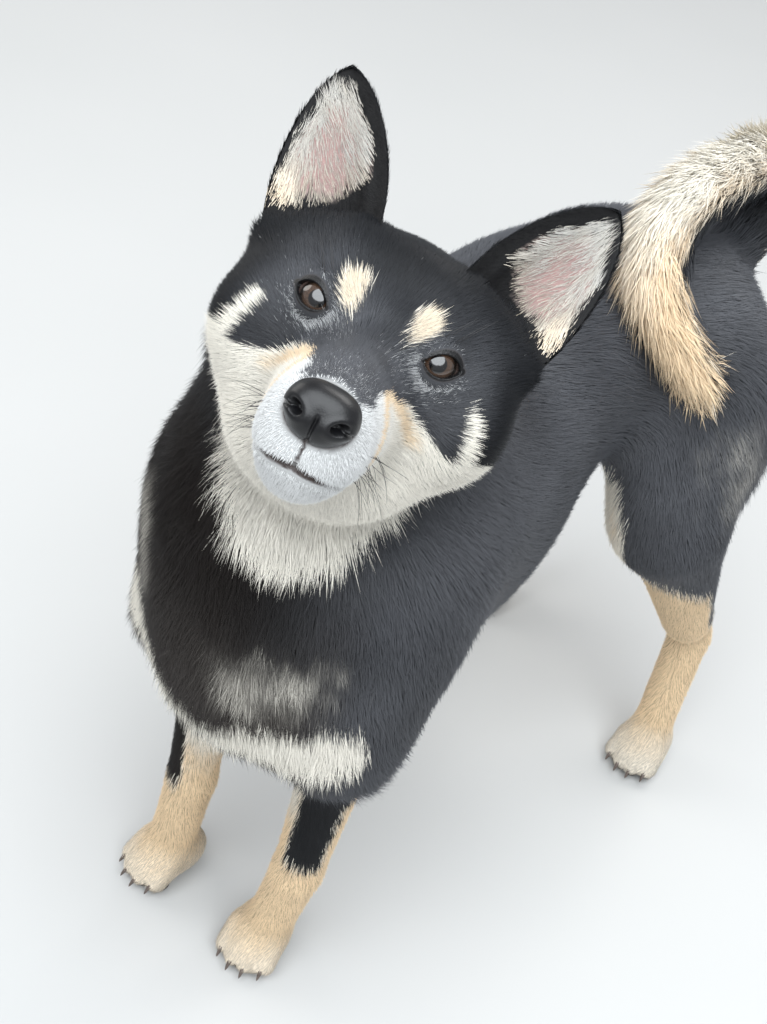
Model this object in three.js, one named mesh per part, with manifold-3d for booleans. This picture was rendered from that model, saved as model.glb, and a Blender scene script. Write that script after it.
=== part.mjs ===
// A standing shiba inu, life size, as a still museum model: head raised, turned to its left and
// tilted, tail curled forward over the back. The solids give the outline out to the tips of the coat.
// Millimetres, +Z up. The dog faces -Y and its left side is +X. The paws stand on Z = 0.
import * as THREE from "three";
import { mergeVertices } from "three/addons/utils/BufferGeometryUtils.js";
import Module from "manifold-3d";

const wasm = await Module();
wasm.setup();

// Driving dimensions
const WITHERS_HEIGHT = 400;
const CROUP_HEIGHT = 391;
const CHEST_BOTTOM = 196;
const CHEST_HALF_WIDTH = 81;
const LOIN_HALF_WIDTH = 71;
const BEND = -24; // the loin stands this far to the dog's right of the line from chest to tail
const EYE_SPAN = 55;
const EYE_RADIUS = 10;
const GAP = 0.3; // the thin cut between neighbouring pieces
const FAR = 900; // larger than the whole dog

// Triangle size of each kind of piece
const TRUNK_CELL = 24;
const NECK_CELL = 17;
const HEAD_CELL = 12;
const LEG_CELL = 14.6;
const PAW_CELL = 11.5;
const TAIL_CELL = 15;
const BALL_SIDES = 10; // around an eye or the nose
const BALL_RINGS = 7;

// Head: its own frame has its origin midway between the eyes, with x to the dog's left, y to the
// back and z up. Turn is to the dog's left, lift is upwards and tilt drops the left side.
const HEAD_ORIGIN = [48.5, -179, 471.3];
const HEAD_TURN = 33.5;
const HEAD_LIFT = 33;
const HEAD_TILT = 14.5;
const headFrame = new THREE.Matrix4()
  .makeRotationFromEuler(
    new THREE.Euler(...[-HEAD_LIFT, HEAD_TILT, HEAD_TURN].map(THREE.MathUtils.degToRad), "ZXY"),
  )
  .setPosition(...HEAD_ORIGIN);
const toHead = headFrame.clone().invert();

// Ear frame, inside the head's: u across the ear outwards, v up its height, w out of its open face.
const EAR_FOOT = [44, 34, 36];
const EAR_TIP = [62.5, 45, 91];
const EAR_ACROSS = [0.79, 0.33, -0.51];
const EAR_OUTER_WIDTH = 26; // from the foot's middle to each edge
const EAR_INNER_WIDTH = 30;
const EAR_CUP = 12;
const EAR_WALL = 3;
const EAR_ROOT = 0.45; // how far the ear runs on below its foot, as a share of its height
const EAR_RINGS = 9;
const EAR_SIDES = 14;

// Fields: a field gives the signed distance in millimetres from a point to a surface, negative inside.
const mix = (a, b, t) => a + (b - a) * t;
const clamp01 = (t) => Math.min(Math.max(t, 0), 1);

// An egg-shaped lump with three radii, turned by rx, ry, rz degrees.
function lump([cx, cy, cz], [a, b, c], turn = [0, 0, 0]) {
  const m = new THREE.Matrix4()
    .makeRotationFromEuler(new THREE.Euler(...turn.map(THREE.MathUtils.degToRad), "ZYX"))
    .transpose().elements;
  return (x, y, z) => {
    const [dx, dy, dz] = [x - cx, y - cy, z - cz];
    const px = (m[0] * dx + m[4] * dy + m[8] * dz) / a;
    const py = (m[1] * dx + m[5] * dy + m[9] * dz) / b;
    const pz = (m[2] * dx + m[6] * dy + m[10] * dz) / c;
    const k = Math.hypot(px, py, pz);
    return (k * (k - 1)) / (Math.hypot(px / a, py / b, pz / c) || 1e-9);
  };
}

// A rounded bar from point a with radius ra to point b with radius rb.
function bar(a, ra, b, rb) {
  const [ux, uy, uz] = [b[0] - a[0], b[1] - a[1], b[2] - a[2]];
  const uu = ux * ux + uy * uy + uz * uz;
  return (x, y, z) => {
    const [dx, dy, dz] = [x - a[0], y - a[1], z - a[2]];
    const t = clamp01((dx * ux + dy * uy + dz * uz) / uu);
    return Math.hypot(dx - t * ux, dy - t * uy, dz - t * uz) - mix(ra, rb, t);
  };
}

// Fields joined with fillets about k wide.
function join(k, ...fields) {
  return (x, y, z) => {
    let d = fields[0](x, y, z);
    for (let i = 1; i < fields.length; i++) {
      const e = fields[i](x, y, z);
      const h = Math.max(k - Math.abs(d - e), 0) / k;
      d = Math.min(d, e) - (h * h * k) / 4;
    }
    return d;
  };
}

// The same shape on both sides of the plane x = 0.
const pair = (field) => (x, y, z) => field(Math.abs(x), y, z);

// A field given in the head's frame, seen from the dog's.
function onHead(field) {
  const m = toHead.elements;
  return (x, y, z) =>
    field(
      m[0] * x + m[4] * y + m[8] * z + m[12],
      m[1] * x + m[5] * y + m[9] * z + m[13],
      m[2] * x + m[6] * y + m[10] * z + m[14],
    );
}

// Trunk
function trunkField() {
  const chestMid = (WITHERS_HEIGHT - 8 + CHEST_BOTTOM) / 2;
  const chestHalf = (WITHERS_HEIGHT - 8 - CHEST_BOTTOM) / 2;
  return join(
    28,
    lump([0.4 * BEND, -60, chestMid], [CHEST_HALF_WIDTH, 134, chestHalf]),
    lump([BEND, 62, CROUP_HEIGHT - 63], [LOIN_HALF_WIDTH, 125, 69]),
    lump([0.4 * BEND, 148, CROUP_HEIGHT - 66], [LOIN_HALF_WIDTH + 3, 76, 66]),
    lump([0.2 * BEND, 178, CROUP_HEIGHT - 98], [60, 44, 72]),
    lump([0, -100, WITHERS_HEIGHT - 42], [40, 70, 42]),
    lump([4, -166, 258], [62, 46, 64]),
    pair(lump([58, -146, 230], [31, 36, 42])),
  );
}

// Legs: each takes the places of its joints.
function foreLeg({ shoulder, elbow, wrist, paw }) {
  const pastern = [mix(wrist[0], paw[0], 0.7), mix(wrist[1], paw[1], 0.6), 30];
  return join(
    12,
    lump([shoulder[0], shoulder[1] + 12, shoulder[2] + 10], [36, 50, 76], [14, 0, 0]),
    bar(shoulder, 34, elbow, 21),
    bar(elbow, 21, wrist, 15),
    bar(wrist, 15.5, pastern, 14.5),
  );
}

function hindLeg({ hip, stifle, hock, paw }) {
  const heel = [hock[0], hock[1], hock[2]];
  const foot = [mix(hock[0], paw[0], 0.85), mix(hock[1], paw[1], 0.75), 32];
  return join(
    18,
    lump([mix(hip[0], stifle[0], 0.55), hip[1] + 12, 267], [38, 71, 75], [14, 0, 0]),
    bar(hip, 46, stifle, 31),
    bar([stifle[0], stifle[1] + 8, stifle[2]], 33, [hock[0], hock[1] - 20, hock[2] + 26], 18),
    bar([hock[0], hock[1] - 6, hock[2] + 26], 12, heel, 12),
    bar([hock[0], hock[1] - 3, hock[2]], 15, foot, 14),
  );
}

// A paw: a low pad with four toes fanned forward, turned outwards by `yaw` degrees.
const TOES = [-1.5, -0.5, 0.5, 1.5];
const TOE_PITCH = 9;
const toeReach = (i) => 19 - 2.4 * i * i;
function pawPoint({ paw, yaw }, x, y, z) {
  const t = THREE.MathUtils.degToRad(yaw);
  return [
    paw[0] + x * Math.cos(t) - y * Math.sin(t),
    paw[1] + x * Math.sin(t) + y * Math.cos(t),
    z,
  ];
}
function pawField(leg) {
  return join(
    6,
    lump(pawPoint(leg, 0, 4, 16), [18, 25, 18], [0, 0, leg.yaw]),
    ...TOES.map((i) =>
      bar(
        pawPoint(leg, i * TOE_PITCH * 0.85, -4, 19),
        8,
        pawPoint(leg, i * TOE_PITCH, -toeReach(i), 9.5),
        7.4,
      ),
    ),
  );
}

const LEGS = {
  fore_left: {
    shoulder: [54, -142, 272],
    elbow: [46, -128, 205],
    wrist: [38, -132, 84],
    paw: [25, -137, 0],
    yaw: 14,
  },
  fore_right: {
    shoulder: [-54, -142, 272],
    elbow: [-58, -118, 204],
    wrist: [-49, -134, 84],
    paw: [-54, -142, 0],
    yaw: -8,
  },
  hind_left: {
    hip: [40, 140, 318],
    stifle: [64, 123, 232],
    hock: [75, 203, 102],
    paw: [82, 178, 0],
    yaw: 6,
  },
  hind_right: {
    hip: [-52, 146, 318],
    stifle: [-75, 146, 234],
    hock: [-87, 242, 104],
    paw: [-92, 217, 0],
    yaw: -6,
  },
};

// Neck and head
const neckField = () => join(26, bar([0, -112, 316], 81, [-6, -130, 404], 61), lump([2, -160, 330], [60, 46, 60]));

function headField() {
  return onHead(
    pair(
      join(
        10,
        lump([0, 46, 7], [50, 53, 38]),
        lump([0, 15, 15], [34, 21, 21]),
        lump([36, 40, -16], [34, 40, 39]),
        lump([42, 50, 26], [20, 13, 18]),
        bar([24, 22, 30], 10, [60, 34, 14], 11),
        lump([0, 40, -50], [48, 46, 36]),
        bar([0, -6, -34], 28, [0, -54, -43], 22.5),
        bar([0, 4, -12], 13, [0, -58, -29], 10.5),
        bar([0, 6, -50], 21, [0, -44, -56], 12.5),
      ),
    ),
  );
}

// An ear: rings from below its foot up to a rounded tip, each a thin crescent open to the front.
function earGeometry(side) {
  const foot = new THREE.Vector3(...EAR_FOOT);
  const up = new THREE.Vector3(...EAR_TIP).sub(foot);
  const height = up.length();
  up.normalize();
  const out = new THREE.Vector3(...EAR_ACROSS).cross(up).normalize();
  const across = up.clone().cross(out);
  const points = [];
  const place = (u, v, w) => {
    const p = foot.clone().addScaledVector(across, u).addScaledVector(up, v).addScaledVector(out, w);
    p.x *= side;
    points.push(...p.applyMatrix4(headFrame).toArray());
  };
  for (let ring = 0; ring < EAR_RINGS; ring++) {
    const s = Math.min(mix(-EAR_ROOT, 1, Math.sin((ring / (EAR_RINGS - 1)) * (Math.PI / 2))), 0.995);
    const rise = Math.max(s, 0);
    const outer = EAR_OUTER_WIDTH * Math.pow(1 - rise ** 2, 0.62) + 1;
    const inner = EAR_INNER_WIDTH * Math.pow(1 - rise ** 1.6, 0.66) + 1;
    const cup = mix(EAR_CUP, 2, clamp01(s));
    for (let k = 0; k < EAR_SIDES; k++) {
      const angle = (k / EAR_SIDES) * 2 * Math.PI;
      const t = Math.cos(angle);
      const wall = EAR_WALL * (s > 0.9 ? 0.6 : 1) * Math.sin(angle);
      place(t * (t > 0 ? outer : inner), height * s, cup * (t * t - 0.4) + wall);
    }
  }
  place(0, -height * EAR_ROOT, -0.4 * EAR_CUP);
  place(0, height, -0.8);
  const faces = [];
  const face = (a, b, c) => faces.push(...(side > 0 ? [a, c, b] : [a, b, c]));
  for (let k = 0; k < EAR_SIDES; k++) {
    const next = (k + 1) % EAR_SIDES;
    for (let ring = 1; ring < EAR_RINGS; ring++) {
      const [low, high] = [(ring - 1) * EAR_SIDES, ring * EAR_SIDES];
      face(low + k, low + next, high + next);
      face(low + k, high + next, high + k);
    }
    face(EAR_RINGS * EAR_SIDES, next, k);
    face(EAR_RINGS * EAR_SIDES + 1, (EAR_RINGS - 1) * EAR_SIDES + k, (EAR_RINGS - 1) * EAR_SIDES + next);
  }
  return new THREE.BufferGeometry()
    .setAttribute("position", new THREE.BufferAttribute(new Float32Array(points), 3))
    .setIndex(faces);
}

// Tail: its middle line from the root, over the back and down the left side, with the coat's radius.
const TAIL_LINE = [
  [-1, 203, 352, 25],
  [0, 231, 379, 25],
  [2, 231, 407, 26],
  [6, 204, 424, 26],
  [9, 165, 430, 25],
  [11, 125, 429, 24.5],
  [15, 94, 420, 22.5],
  [26, 77, 402, 19],
  [42, 79, 378, 16.5],
  [56, 90, 358, 13],
  [63, 102, 346, 7],
];
const TAIL_SAMPLES = 24;
function tailField() {
  const line = new THREE.CatmullRomCurve3(TAIL_LINE.map(([x, y, z]) => new THREE.Vector3(x, y, z)));
  const radius = (t) => {
    const i = Math.min(Math.floor(t * (TAIL_LINE.length - 1)), TAIL_LINE.length - 2);
    return mix(TAIL_LINE[i][3], TAIL_LINE[i + 1][3], t * (TAIL_LINE.length - 1) - i);
  };
  const stops = Array.from({ length: TAIL_SAMPLES + 1 }, (_, i) => i / TAIL_SAMPLES);
  return join(
    4,
    ...stops
      .slice(1)
      .map((t, i) =>
        bar(line.getPoint(stops[i]).toArray(), radius(stops[i]), line.getPoint(t).toArray(), radius(t)),
      ),
  );
}

// The surface of a field inside a box, as a closed geometry: one vertex for each cell that the
// surface crosses, moved onto the surface, and one square for each crossed grid edge.
const SETTLE_STEPS = 4;
function surfaceOf(field, low, high, cell) {
  const n = low.map((l, i) => Math.ceil((high[i] - l) / cell) + 1);
  const at = (i, axis) => low[axis] + i * cell;
  const index = (i, j, k) => (i * n[1] + j) * n[2] + k;
  const box = (x, y, z) =>
    Math.max(
      ...[x, y, z].map((c, i) => Math.max(low[i] + 1.2 * cell - c, c - (at(n[i] - 1, i) - 1.2 * cell))),
    );
  const inside = (x, y, z) => Math.max(field(x, y, z), box(x, y, z));
  const values = new Float32Array(n[0] * n[1] * n[2]);
  for (let i = 0; i < n[0]; i++)
    for (let j = 0; j < n[1]; j++)
      for (let k = 0; k < n[2]; k++) values[index(i, j, k)] = inside(at(i, 0), at(j, 1), at(k, 2));

  const corners = [0, 1, 2, 3, 4, 5, 6, 7].map((c) => [c & 1, (c >> 1) & 1, (c >> 2) & 1]);
  const edges = corners.flatMap((a, i) =>
    corners.slice(i + 1).filter((b) => a.reduce((s, v, x) => s + Math.abs(v - b[x]), 0) === 1).map((b) => [a, b]),
  );
  const vertexOf = new Int32Array(values.length).fill(-1);
  const points = [];
  for (let i = 0; i < n[0] - 1; i++)
    for (let j = 0; j < n[1] - 1; j++)
      for (let k = 0; k < n[2] - 1; k++) {
        const sum = [0, 0, 0];
        let crossed = 0;
        for (const [a, b] of edges) {
          const va = values[index(i + a[0], j + a[1], k + a[2])];
          const vb = values[index(i + b[0], j + b[1], k + b[2])];
          if (va < 0 === vb < 0) continue;
          const t = va / (va - vb);
          sum.forEach((_, x) => (sum[x] += mix(a[x], b[x], t)));
          crossed++;
        }
        if (!crossed) continue;
        vertexOf[index(i, j, k)] = points.length;
        points.push([at(i, 0), at(j, 1), at(k, 2)].map((o, x) => o + (cell * sum[x]) / crossed));
      }

  const reach = 0.4 * cell; // keeps each vertex near its own cell
  const step = 0.5;
  for (const p of points) {
    const start = [...p];
    for (let s = 0; s < SETTLE_STEPS; s++) {
      const d = inside(...p);
      const g = p.map((_, x) => {
        const [a, b] = [[...p], [...p]];
        a[x] -= step;
        b[x] += step;
        return (inside(...b) - inside(...a)) / (2 * step);
      });
      const gg = Math.max(g[0] ** 2 + g[1] ** 2 + g[2] ** 2, 0.25);
      p.forEach((v, x) => {
        const moved = v - (d * g[x]) / gg;
        p[x] = Math.min(Math.max(moved, start[x] - reach), start[x] + reach);
      });
    }
  }

  const faces = [];
  const square = (a, b, c, d, flip) => {
    if (flip) [b, d] = [d, b];
    faces.push(a, b, c, a, c, d);
  };
  for (let i = 1; i < n[0] - 1; i++)
    for (let j = 1; j < n[1] - 1; j++)
      for (let k = 1; k < n[2] - 1; k++) {
        const solid = values[index(i, j, k)] < 0;
        const w = (a, b, c) => vertexOf[index(i - a, j - b, k - c)];
        if (solid !== values[index(i + 1, j, k)] < 0)
          square(w(0, 0, 0), w(0, 1, 0), w(0, 1, 1), w(0, 0, 1), !solid);
        if (solid !== values[index(i, j + 1, k)] < 0)
          square(w(0, 0, 0), w(0, 0, 1), w(1, 0, 1), w(1, 0, 0), !solid);
        if (solid !== values[index(i, j, k + 1)] < 0)
          square(w(0, 0, 0), w(1, 0, 0), w(1, 1, 0), w(0, 1, 0), !solid);
      }
  return new THREE.BufferGeometry()
    .setAttribute("position", new THREE.BufferAttribute(new Float32Array(points.flat()), 3))
    .setIndex(faces);
}

// Geometry to solid and back
function solid(geometry) {
  const g = geometry.clone();
  g.deleteAttribute("normal");
  g.deleteAttribute("uv");
  const merged = mergeVertices(g, 1e-3);
  return new wasm.Manifold(
    new wasm.Mesh({
      numProp: 3,
      vertProperties: new Float32Array(merged.attributes.position.array),
      triVerts: new Uint32Array(merged.index.array),
    }),
  );
}

// Corners closer together than SLIVER become one, and the triangles that this closes up are dropped.
const SLIVER = 0.004;
function geometryOf(manifold) {
  const m = manifold.getMesh();
  const at = (i) => new THREE.Vector3().fromArray(m.vertProperties, i * m.numProp);
  const joined = Array.from({ length: m.numVert }, (_, i) => i);
  const find = (i) => (joined[i] === i ? i : (joined[i] = find(joined[i])));
  for (let t = 0; t < m.triVerts.length; t += 3)
    for (const [a, b] of [[0, 1], [1, 2], [2, 0]]) {
      const [p, q] = [find(m.triVerts[t + a]), find(m.triVerts[t + b])];
      if (p !== q && at(p).distanceTo(at(q)) < SLIVER) joined[Math.max(p, q)] = Math.min(p, q);
    }
  const faces = [];
  for (let t = 0; t < m.triVerts.length; t += 3) {
    const [a, b, c] = [0, 1, 2].map((k) => find(m.triVerts[t + k]));
    if (a !== b && b !== c && c !== a) faces.push(a, b, c);
  }
  const used = [...new Set(faces)];
  const order = new Map(used.map((v, i) => [v, i]));
  const g = new THREE.BufferGeometry().setAttribute(
    "position",
    new THREE.BufferAttribute(new Float32Array(used.flatMap((v) => at(v).toArray())), 3),
  );
  g.setIndex(faces.map((v) => order.get(v)));
  g.computeVertexNormals();
  return g;
}

// All that lies on the side of a plane that its normal points to, short of it by `back`.
function sideOf(point, normal, back = GAP / 2) {
  const n = new THREE.Vector3(...normal).normalize();
  const turn = new THREE.Quaternion().setFromUnitVectors(new THREE.Vector3(0, 0, 1), n);
  const middle = new THREE.Vector3(...point).addScaledVector(n, FAR / 2 + back);
  return solid(
    new THREE.BoxGeometry(2 * FAR, 2 * FAR, FAR).applyMatrix4(
      new THREE.Matrix4().compose(middle, turn, new THREE.Vector3(1, 1, 1)),
    ),
  );
}
const away = (normal) => normal.map((c) => -c);

// The planes of the thin cuts: a point and a normal
const headPoint = (p) => new THREE.Vector3(...p).applyMatrix4(headFrame).toArray();
const headWay = (p) => new THREE.Vector3(...p).transformDirection(headFrame).toArray();
const NAPE = [headPoint([0, 44, -40]), headWay([0, -0.7, 0.72])]; // towards the head
const NECK_FOOT = [[0, -140, 330], [0, -0.5, 0.87]]; // towards the neck
const ELBOW = [[0, 0, 188], [0, 0, -1]]; // towards the forelegs
const WRIST = [[0, 0, 62], [0, 0, -1]];
const GROIN = [[0, 140, 244], [0, 0, -1]];
const KNEE = [[0, 0, 178], [0, 0, -1]];
const HOCK = [[0, 0, 84], [0, 0, -1]];
const FLOOR = [[0, 0, 0], [0, 0, 1], 0];
const LEFT = [[0, 0, 0], [1, 0, 0]];
const RIGHT = [[0, 0, 0], [-1, 0, 0]];
const TAIL_ROOT = [[2, 228, 367], [0, 0.62, 0.78]]; // towards the tail
const TAIL_TOP = [[7, 190, 430], [0, -1, 0]]; // towards the tip
const TAIL_FALL = [[19, 80, 420], [0.4, -0.1, -0.9]];

function cutOut(surface, ...planes) {
  return planes.reduce((s, [p, n, back]) => s.intersect(sideOf(p, n, back)), surface);
}
const flip = ([p, n]) => [p, away(n)];

// A piece trimmed to sit just clear of its neighbour, which lies on the far side of the direction.
function clearOf(piece, neighbour, direction) {
  const step = new THREE.Vector3(...direction).setLength(1.5 * GAP);
  const nearer = solid(geometryOf(neighbour).translate(...step));
  const parts = piece.subtract(neighbour).subtract(nearer).decompose();
  return parts.reduce((a, b) => (a.volume() > b.volume() ? a : b));
}
const meshed = (field, low, high, cell) => solid(surfaceOf(field, low, high, cell));

// The pieces
const legNames = Object.keys(LEGS);
const limbs = Object.fromEntries(
  legNames.map((name) => {
    const leg = LEGS[name];
    const upper = name.startsWith("fore") ? foreLeg(leg) : hindLeg(leg);
    return [name, join(10, upper, pawField(leg))];
  }),
);
const trunk = join(
  30,
  join(18, trunkField(), limbs.fore_left, limbs.fore_right),
  limbs.hind_left,
  limbs.hind_right,
);
const headAlone = headField();
const body = join(22, join(34, trunk, neckField()), headAlone);
const rootOfTail = bar(TAIL_LINE[0].slice(0, 3), TAIL_LINE[0][3], TAIL_LINE[1].slice(0, 3), TAIL_LINE[1][3]);
const rump = join(16, body, rootOfTail);

const pieces = {};

function buildTrunk() {
  const shape = meshed(rump, [-135, -260, 150], [135, 290, 460], TRUNK_CELL);
  pieces.trunk = cutOut(shape, flip(NECK_FOOT), flip(TAIL_ROOT), [[0, 0, 188], [0, 0, 1]]);
  // The thighs hang below the groin, behind the belly.
  const thighs = sideOf(GROIN[0], GROIN[1], -GAP / 2).intersect(sideOf([0, 70, 0], [0, 1, 0]));
  pieces.trunk = pieces.trunk.subtract(thighs);
}

function buildNeck() {
  const shape = meshed(body, [-130, -270, 220], [140, 20, 520], NECK_CELL);
  pieces.neck = cutOut(shape, NECK_FOOT, flip(NAPE));
}

function buildHead() {
  pieces.head = cutOut(meshed(body, [-75, -300, 340], [175, -30, 570], HEAD_CELL), NAPE);
}

function buildLegs() {
  for (const name of legNames) {
    const leg = LEGS[name];
    const side = leg.paw[0] > 0 ? LEFT : RIGHT;
    const [cx, cy] = leg.paw;
    const legShape = meshed(trunk, [cx - 95, cy - 110, 20], [cx + 95, cy + 120, 275], LEG_CELL);
    const pawShape = meshed(trunk, [cx - 60, cy - 75, -16], [cx + 60, cy + 80, 110], PAW_CELL);
    if (name.startsWith("fore")) {
      const ankle = WRIST;
      pieces[name.replace("_", "leg_")] = cutOut(legShape, ELBOW, flip(ankle), side);
      pieces[name.replace("_", "paw_")] = cutOut(pawShape, ankle, FLOOR, side);
    } else {
      pieces[name.replace("hind", "thigh")] = cutOut(legShape, GROIN, flip(KNEE), side);
      pieces[name.replace("hind", "shank")] = cutOut(legShape, KNEE, flip(HOCK), side);
      pieces[name.replace("_", "paw_")] = cutOut(pawShape, HOCK, FLOOR, side);
    }
  }
}

function buildTail() {
  const shape = meshed(tailField(), [-60, 10, 290], [110, 290, 500], TAIL_CELL);
  const underRoot = sideOf([0, 150, 0], [0, 1, 0]).intersect(sideOf([0, 0, 396], [0, 0, -1]));
  pieces.tail_root = cutOut(shape, TAIL_ROOT, flip(TAIL_TOP));
  pieces.tail_arch = cutOut(shape, TAIL_TOP, flip(TAIL_FALL)).subtract(underRoot);
  // The hanging end lies against the loin without entering it.
  const hanging = cutOut(shape, TAIL_TOP, TAIL_FALL).subtract(underRoot);
  pieces.tail_tip = clearOf(hanging, pieces.trunk, [1, 0, 1]);
}

buildTrunk();
buildNeck();
buildHead();
buildLegs();
buildTail();

// Ears, eyes and nose
for (const [name, side] of [["left", 1], ["right", -1]]) {
  pieces["ear_" + name] = clearOf(solid(earGeometry(side)), pieces.head, headWay([side, -1, 2]));

  const socket = headPoint([side * (EYE_SPAN / 2 - 1), 9.5, 0.5]);
  const ball = (r) => solid(new THREE.SphereGeometry(r, BALL_SIDES, BALL_RINGS).translate(...socket));
  pieces["eye_" + name] = ball(EYE_RADIUS);
  pieces.head = pieces.head.subtract(ball(EYE_RADIUS + 2 * GAP));
}

// Claws: short cones low on the front of each toe
const CLAW_LENGTH = 9;
const CLAW_RADIUS = 2.3;
const CLAW_DROP = 24; // degrees below level
for (const name of legNames) {
  const leg = LEGS[name];
  const paw = name.replace("_", "paw_");
  TOES.forEach((i, n) => {
    const root = pawPoint(leg, i * TOE_PITCH, -toeReach(i) - 2, 9);
    const cone = (grow) =>
      solid(
        new THREE.ConeGeometry(CLAW_RADIUS + grow, CLAW_LENGTH + 2 * grow, 8)
          .rotateX(Math.PI)
          .translate(0, -CLAW_LENGTH / 2, 0)
          .rotateX(THREE.MathUtils.degToRad(CLAW_DROP))
          .rotateZ(THREE.MathUtils.degToRad(leg.yaw))
          .translate(...root),
      );
    pieces[name.replace("_", "_claw_") + "_" + (n + 1)] = cone(0);
    pieces[paw] = pieces[paw].subtract(cone(GAP));
  });
}

const NOSE_PLACE = [0, -72, -33.5];
const NOSE_RADII = [14.5, 11.5, 11.5];
const noseShape = (grow) =>
  solid(
    new THREE.SphereGeometry(1, BALL_SIDES, BALL_RINGS)
      .scale(...NOSE_RADII.map((r) => r + grow))
      .translate(...NOSE_PLACE)
      .applyMatrix4(headFrame),
  );
pieces.nose = noseShape(0);
pieces.head = pieces.head.subtract(noseShape(2 * GAP));

// Materials and the finished group
const LOOKS = {
  black_coat: new THREE.MeshStandardMaterial({ color: 0x2a2828, roughness: 0.75 }),
  tan_coat: new THREE.MeshStandardMaterial({ color: 0xd3b48a, roughness: 0.8 }),
  pale_coat: new THREE.MeshStandardMaterial({ color: 0xe6ddd0, roughness: 0.8 }),
  eye: new THREE.MeshStandardMaterial({ color: 0x2b160d, roughness: 0.1 }),
  claw: new THREE.MeshStandardMaterial({ color: 0x4a4038, roughness: 0.4 }),
  nose_leather: new THREE.MeshStandardMaterial({ color: 0x17171b, roughness: 0.45 }),
};
const lookOf = (name) =>
  name.includes("claw")
    ? LOOKS.claw
    : name.startsWith("eye")
    ? LOOKS.eye
    : name === "nose"
      ? LOOKS.nose_leather
      : name.includes("paw")
        ? LOOKS.tan_coat
        : name === "tail_arch"
          ? LOOKS.pale_coat
          : LOOKS.black_coat;

const dog = new THREE.Group();
for (const [name, piece] of Object.entries(pieces)) {
  const mesh = new THREE.Mesh(geometryOf(piece), lookOf(name));
  mesh.name = name;
  dog.add(mesh);
}

// The origin is under the middle of the whole dog, on the floor.
const extent = new THREE.Box3().setFromObject(dog);
const middle = extent.getCenter(new THREE.Vector3());
dog.position.set(-middle.x, -middle.y, -extent.min.z);

export default dog;
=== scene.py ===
"""A black and tan shiba inu, life size, as a still museum model.

The dog stands on its four paws with its head raised, turned to its left and tilted, and its tail
curls forward over the back. One skin is worked out from the body's own sizes, and thin tufts of
hair are laid over it along the lie of the coat. Lengths are in millimetres until a mesh is made.
"""
import math

import bmesh
import bpy
import numpy as np
from mathutils import Matrix, Vector


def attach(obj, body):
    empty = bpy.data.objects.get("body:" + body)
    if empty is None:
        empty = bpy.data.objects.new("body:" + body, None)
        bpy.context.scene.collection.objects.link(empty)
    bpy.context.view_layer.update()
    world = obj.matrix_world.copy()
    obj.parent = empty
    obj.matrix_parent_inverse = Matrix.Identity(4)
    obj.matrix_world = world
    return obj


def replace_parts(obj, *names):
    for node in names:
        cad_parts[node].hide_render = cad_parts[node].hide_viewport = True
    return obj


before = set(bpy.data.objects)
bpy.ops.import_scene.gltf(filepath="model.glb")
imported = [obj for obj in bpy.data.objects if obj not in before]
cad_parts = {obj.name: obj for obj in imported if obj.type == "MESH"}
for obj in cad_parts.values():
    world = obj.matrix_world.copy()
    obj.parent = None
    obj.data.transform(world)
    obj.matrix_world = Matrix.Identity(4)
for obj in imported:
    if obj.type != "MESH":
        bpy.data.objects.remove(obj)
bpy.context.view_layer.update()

MM = 0.001
SHIFT = np.array([4.4442, 2.5079, 0.0])  # from the body's own middle to the floor's
CELL = 3.05  # pitch of the skin's grid
BODY_LOW = np.array([-118.0, -280.0, -6.0])
BODY_HIGH = np.array([112.0, 276.0, 546.0])
HAIR_SHARE = 0.95
dice = np.random.default_rng(11)


# Vectors and blends
def length(v):
    return np.sqrt(np.einsum("...i,...i->...", v, v))


def unit(v):
    return v / np.maximum(length(v), 1e-9)[..., None]


def dot(a, b):
    return np.einsum("...i,...i->...", a, np.broadcast_to(b, np.shape(a)))


def mix(a, b, t):
    return a + (b - a) * t


def ramp(a, b, x):
    """Zero up to a, one from b, smooth between."""
    t = np.clip((x - a) / (b - a), 0, 1)
    return t * t * (3 - 2 * t)


def bump(x, wide):
    return np.exp(-((x / wide) ** 2))


def turn_about(axis, degrees):
    return np.array(Matrix.Rotation(math.radians(degrees), 3, axis))


def noise(p, size, seed):
    """Smooth noise from -1 to 1 with grains of the given size."""
    q = p / size
    whole = np.floor(q).astype(np.int64)
    f = q - whole
    f = f * f * (3 - 2 * f)
    total = np.zeros(len(p))
    for corner in range(8):
        step = np.array([corner & 1, corner >> 1 & 1, corner >> 2 & 1])
        k = whole + step
        h = k[:, 0] * 73856093 ^ k[:, 1] * 19349663 ^ k[:, 2] * 83492791 ^ seed * 2654435761
        h = (h ^ h >> 15) * 2246822519 & 0xFFFFFFFF
        h = (h ^ h >> 13) * 3266489917 & 0xFFFFFFFF
        h = h ^ h >> 16
        share = np.where(step, f, 1 - f).prod(1)
        total += share * (h & 0xFFFF) / 32767.5
    return total - 1


def noise3(p, size, seed):
    return np.stack([noise(p, size, seed + i) for i in range(3)], 1)


# Fields: signed distance to a shape, negative inside
def egg(p, centre, radii, lean=0, yaw=0):
    d = (p - np.array(centre)) @ (turn_about("Z", yaw) @ turn_about("X", lean))
    q = d / np.array(radii)
    k = length(q)
    return k * (k - 1) / np.maximum(length(q / np.array(radii)), 1e-9)


def bar(p, a, ra, b, rb):
    a = np.array(a, float)
    u = np.array(b) - a
    d = p - a
    t = np.clip(d @ u / (u @ u), 0, 1)
    return length(d - t[:, None] * u) - mix(ra, rb, t)


def fuse(k, first, *others):
    for other in others:
        h = np.maximum(k - np.abs(first - other), 0) / k
        first = np.minimum(first, other) - h * h * k / 4
    return first


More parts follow.
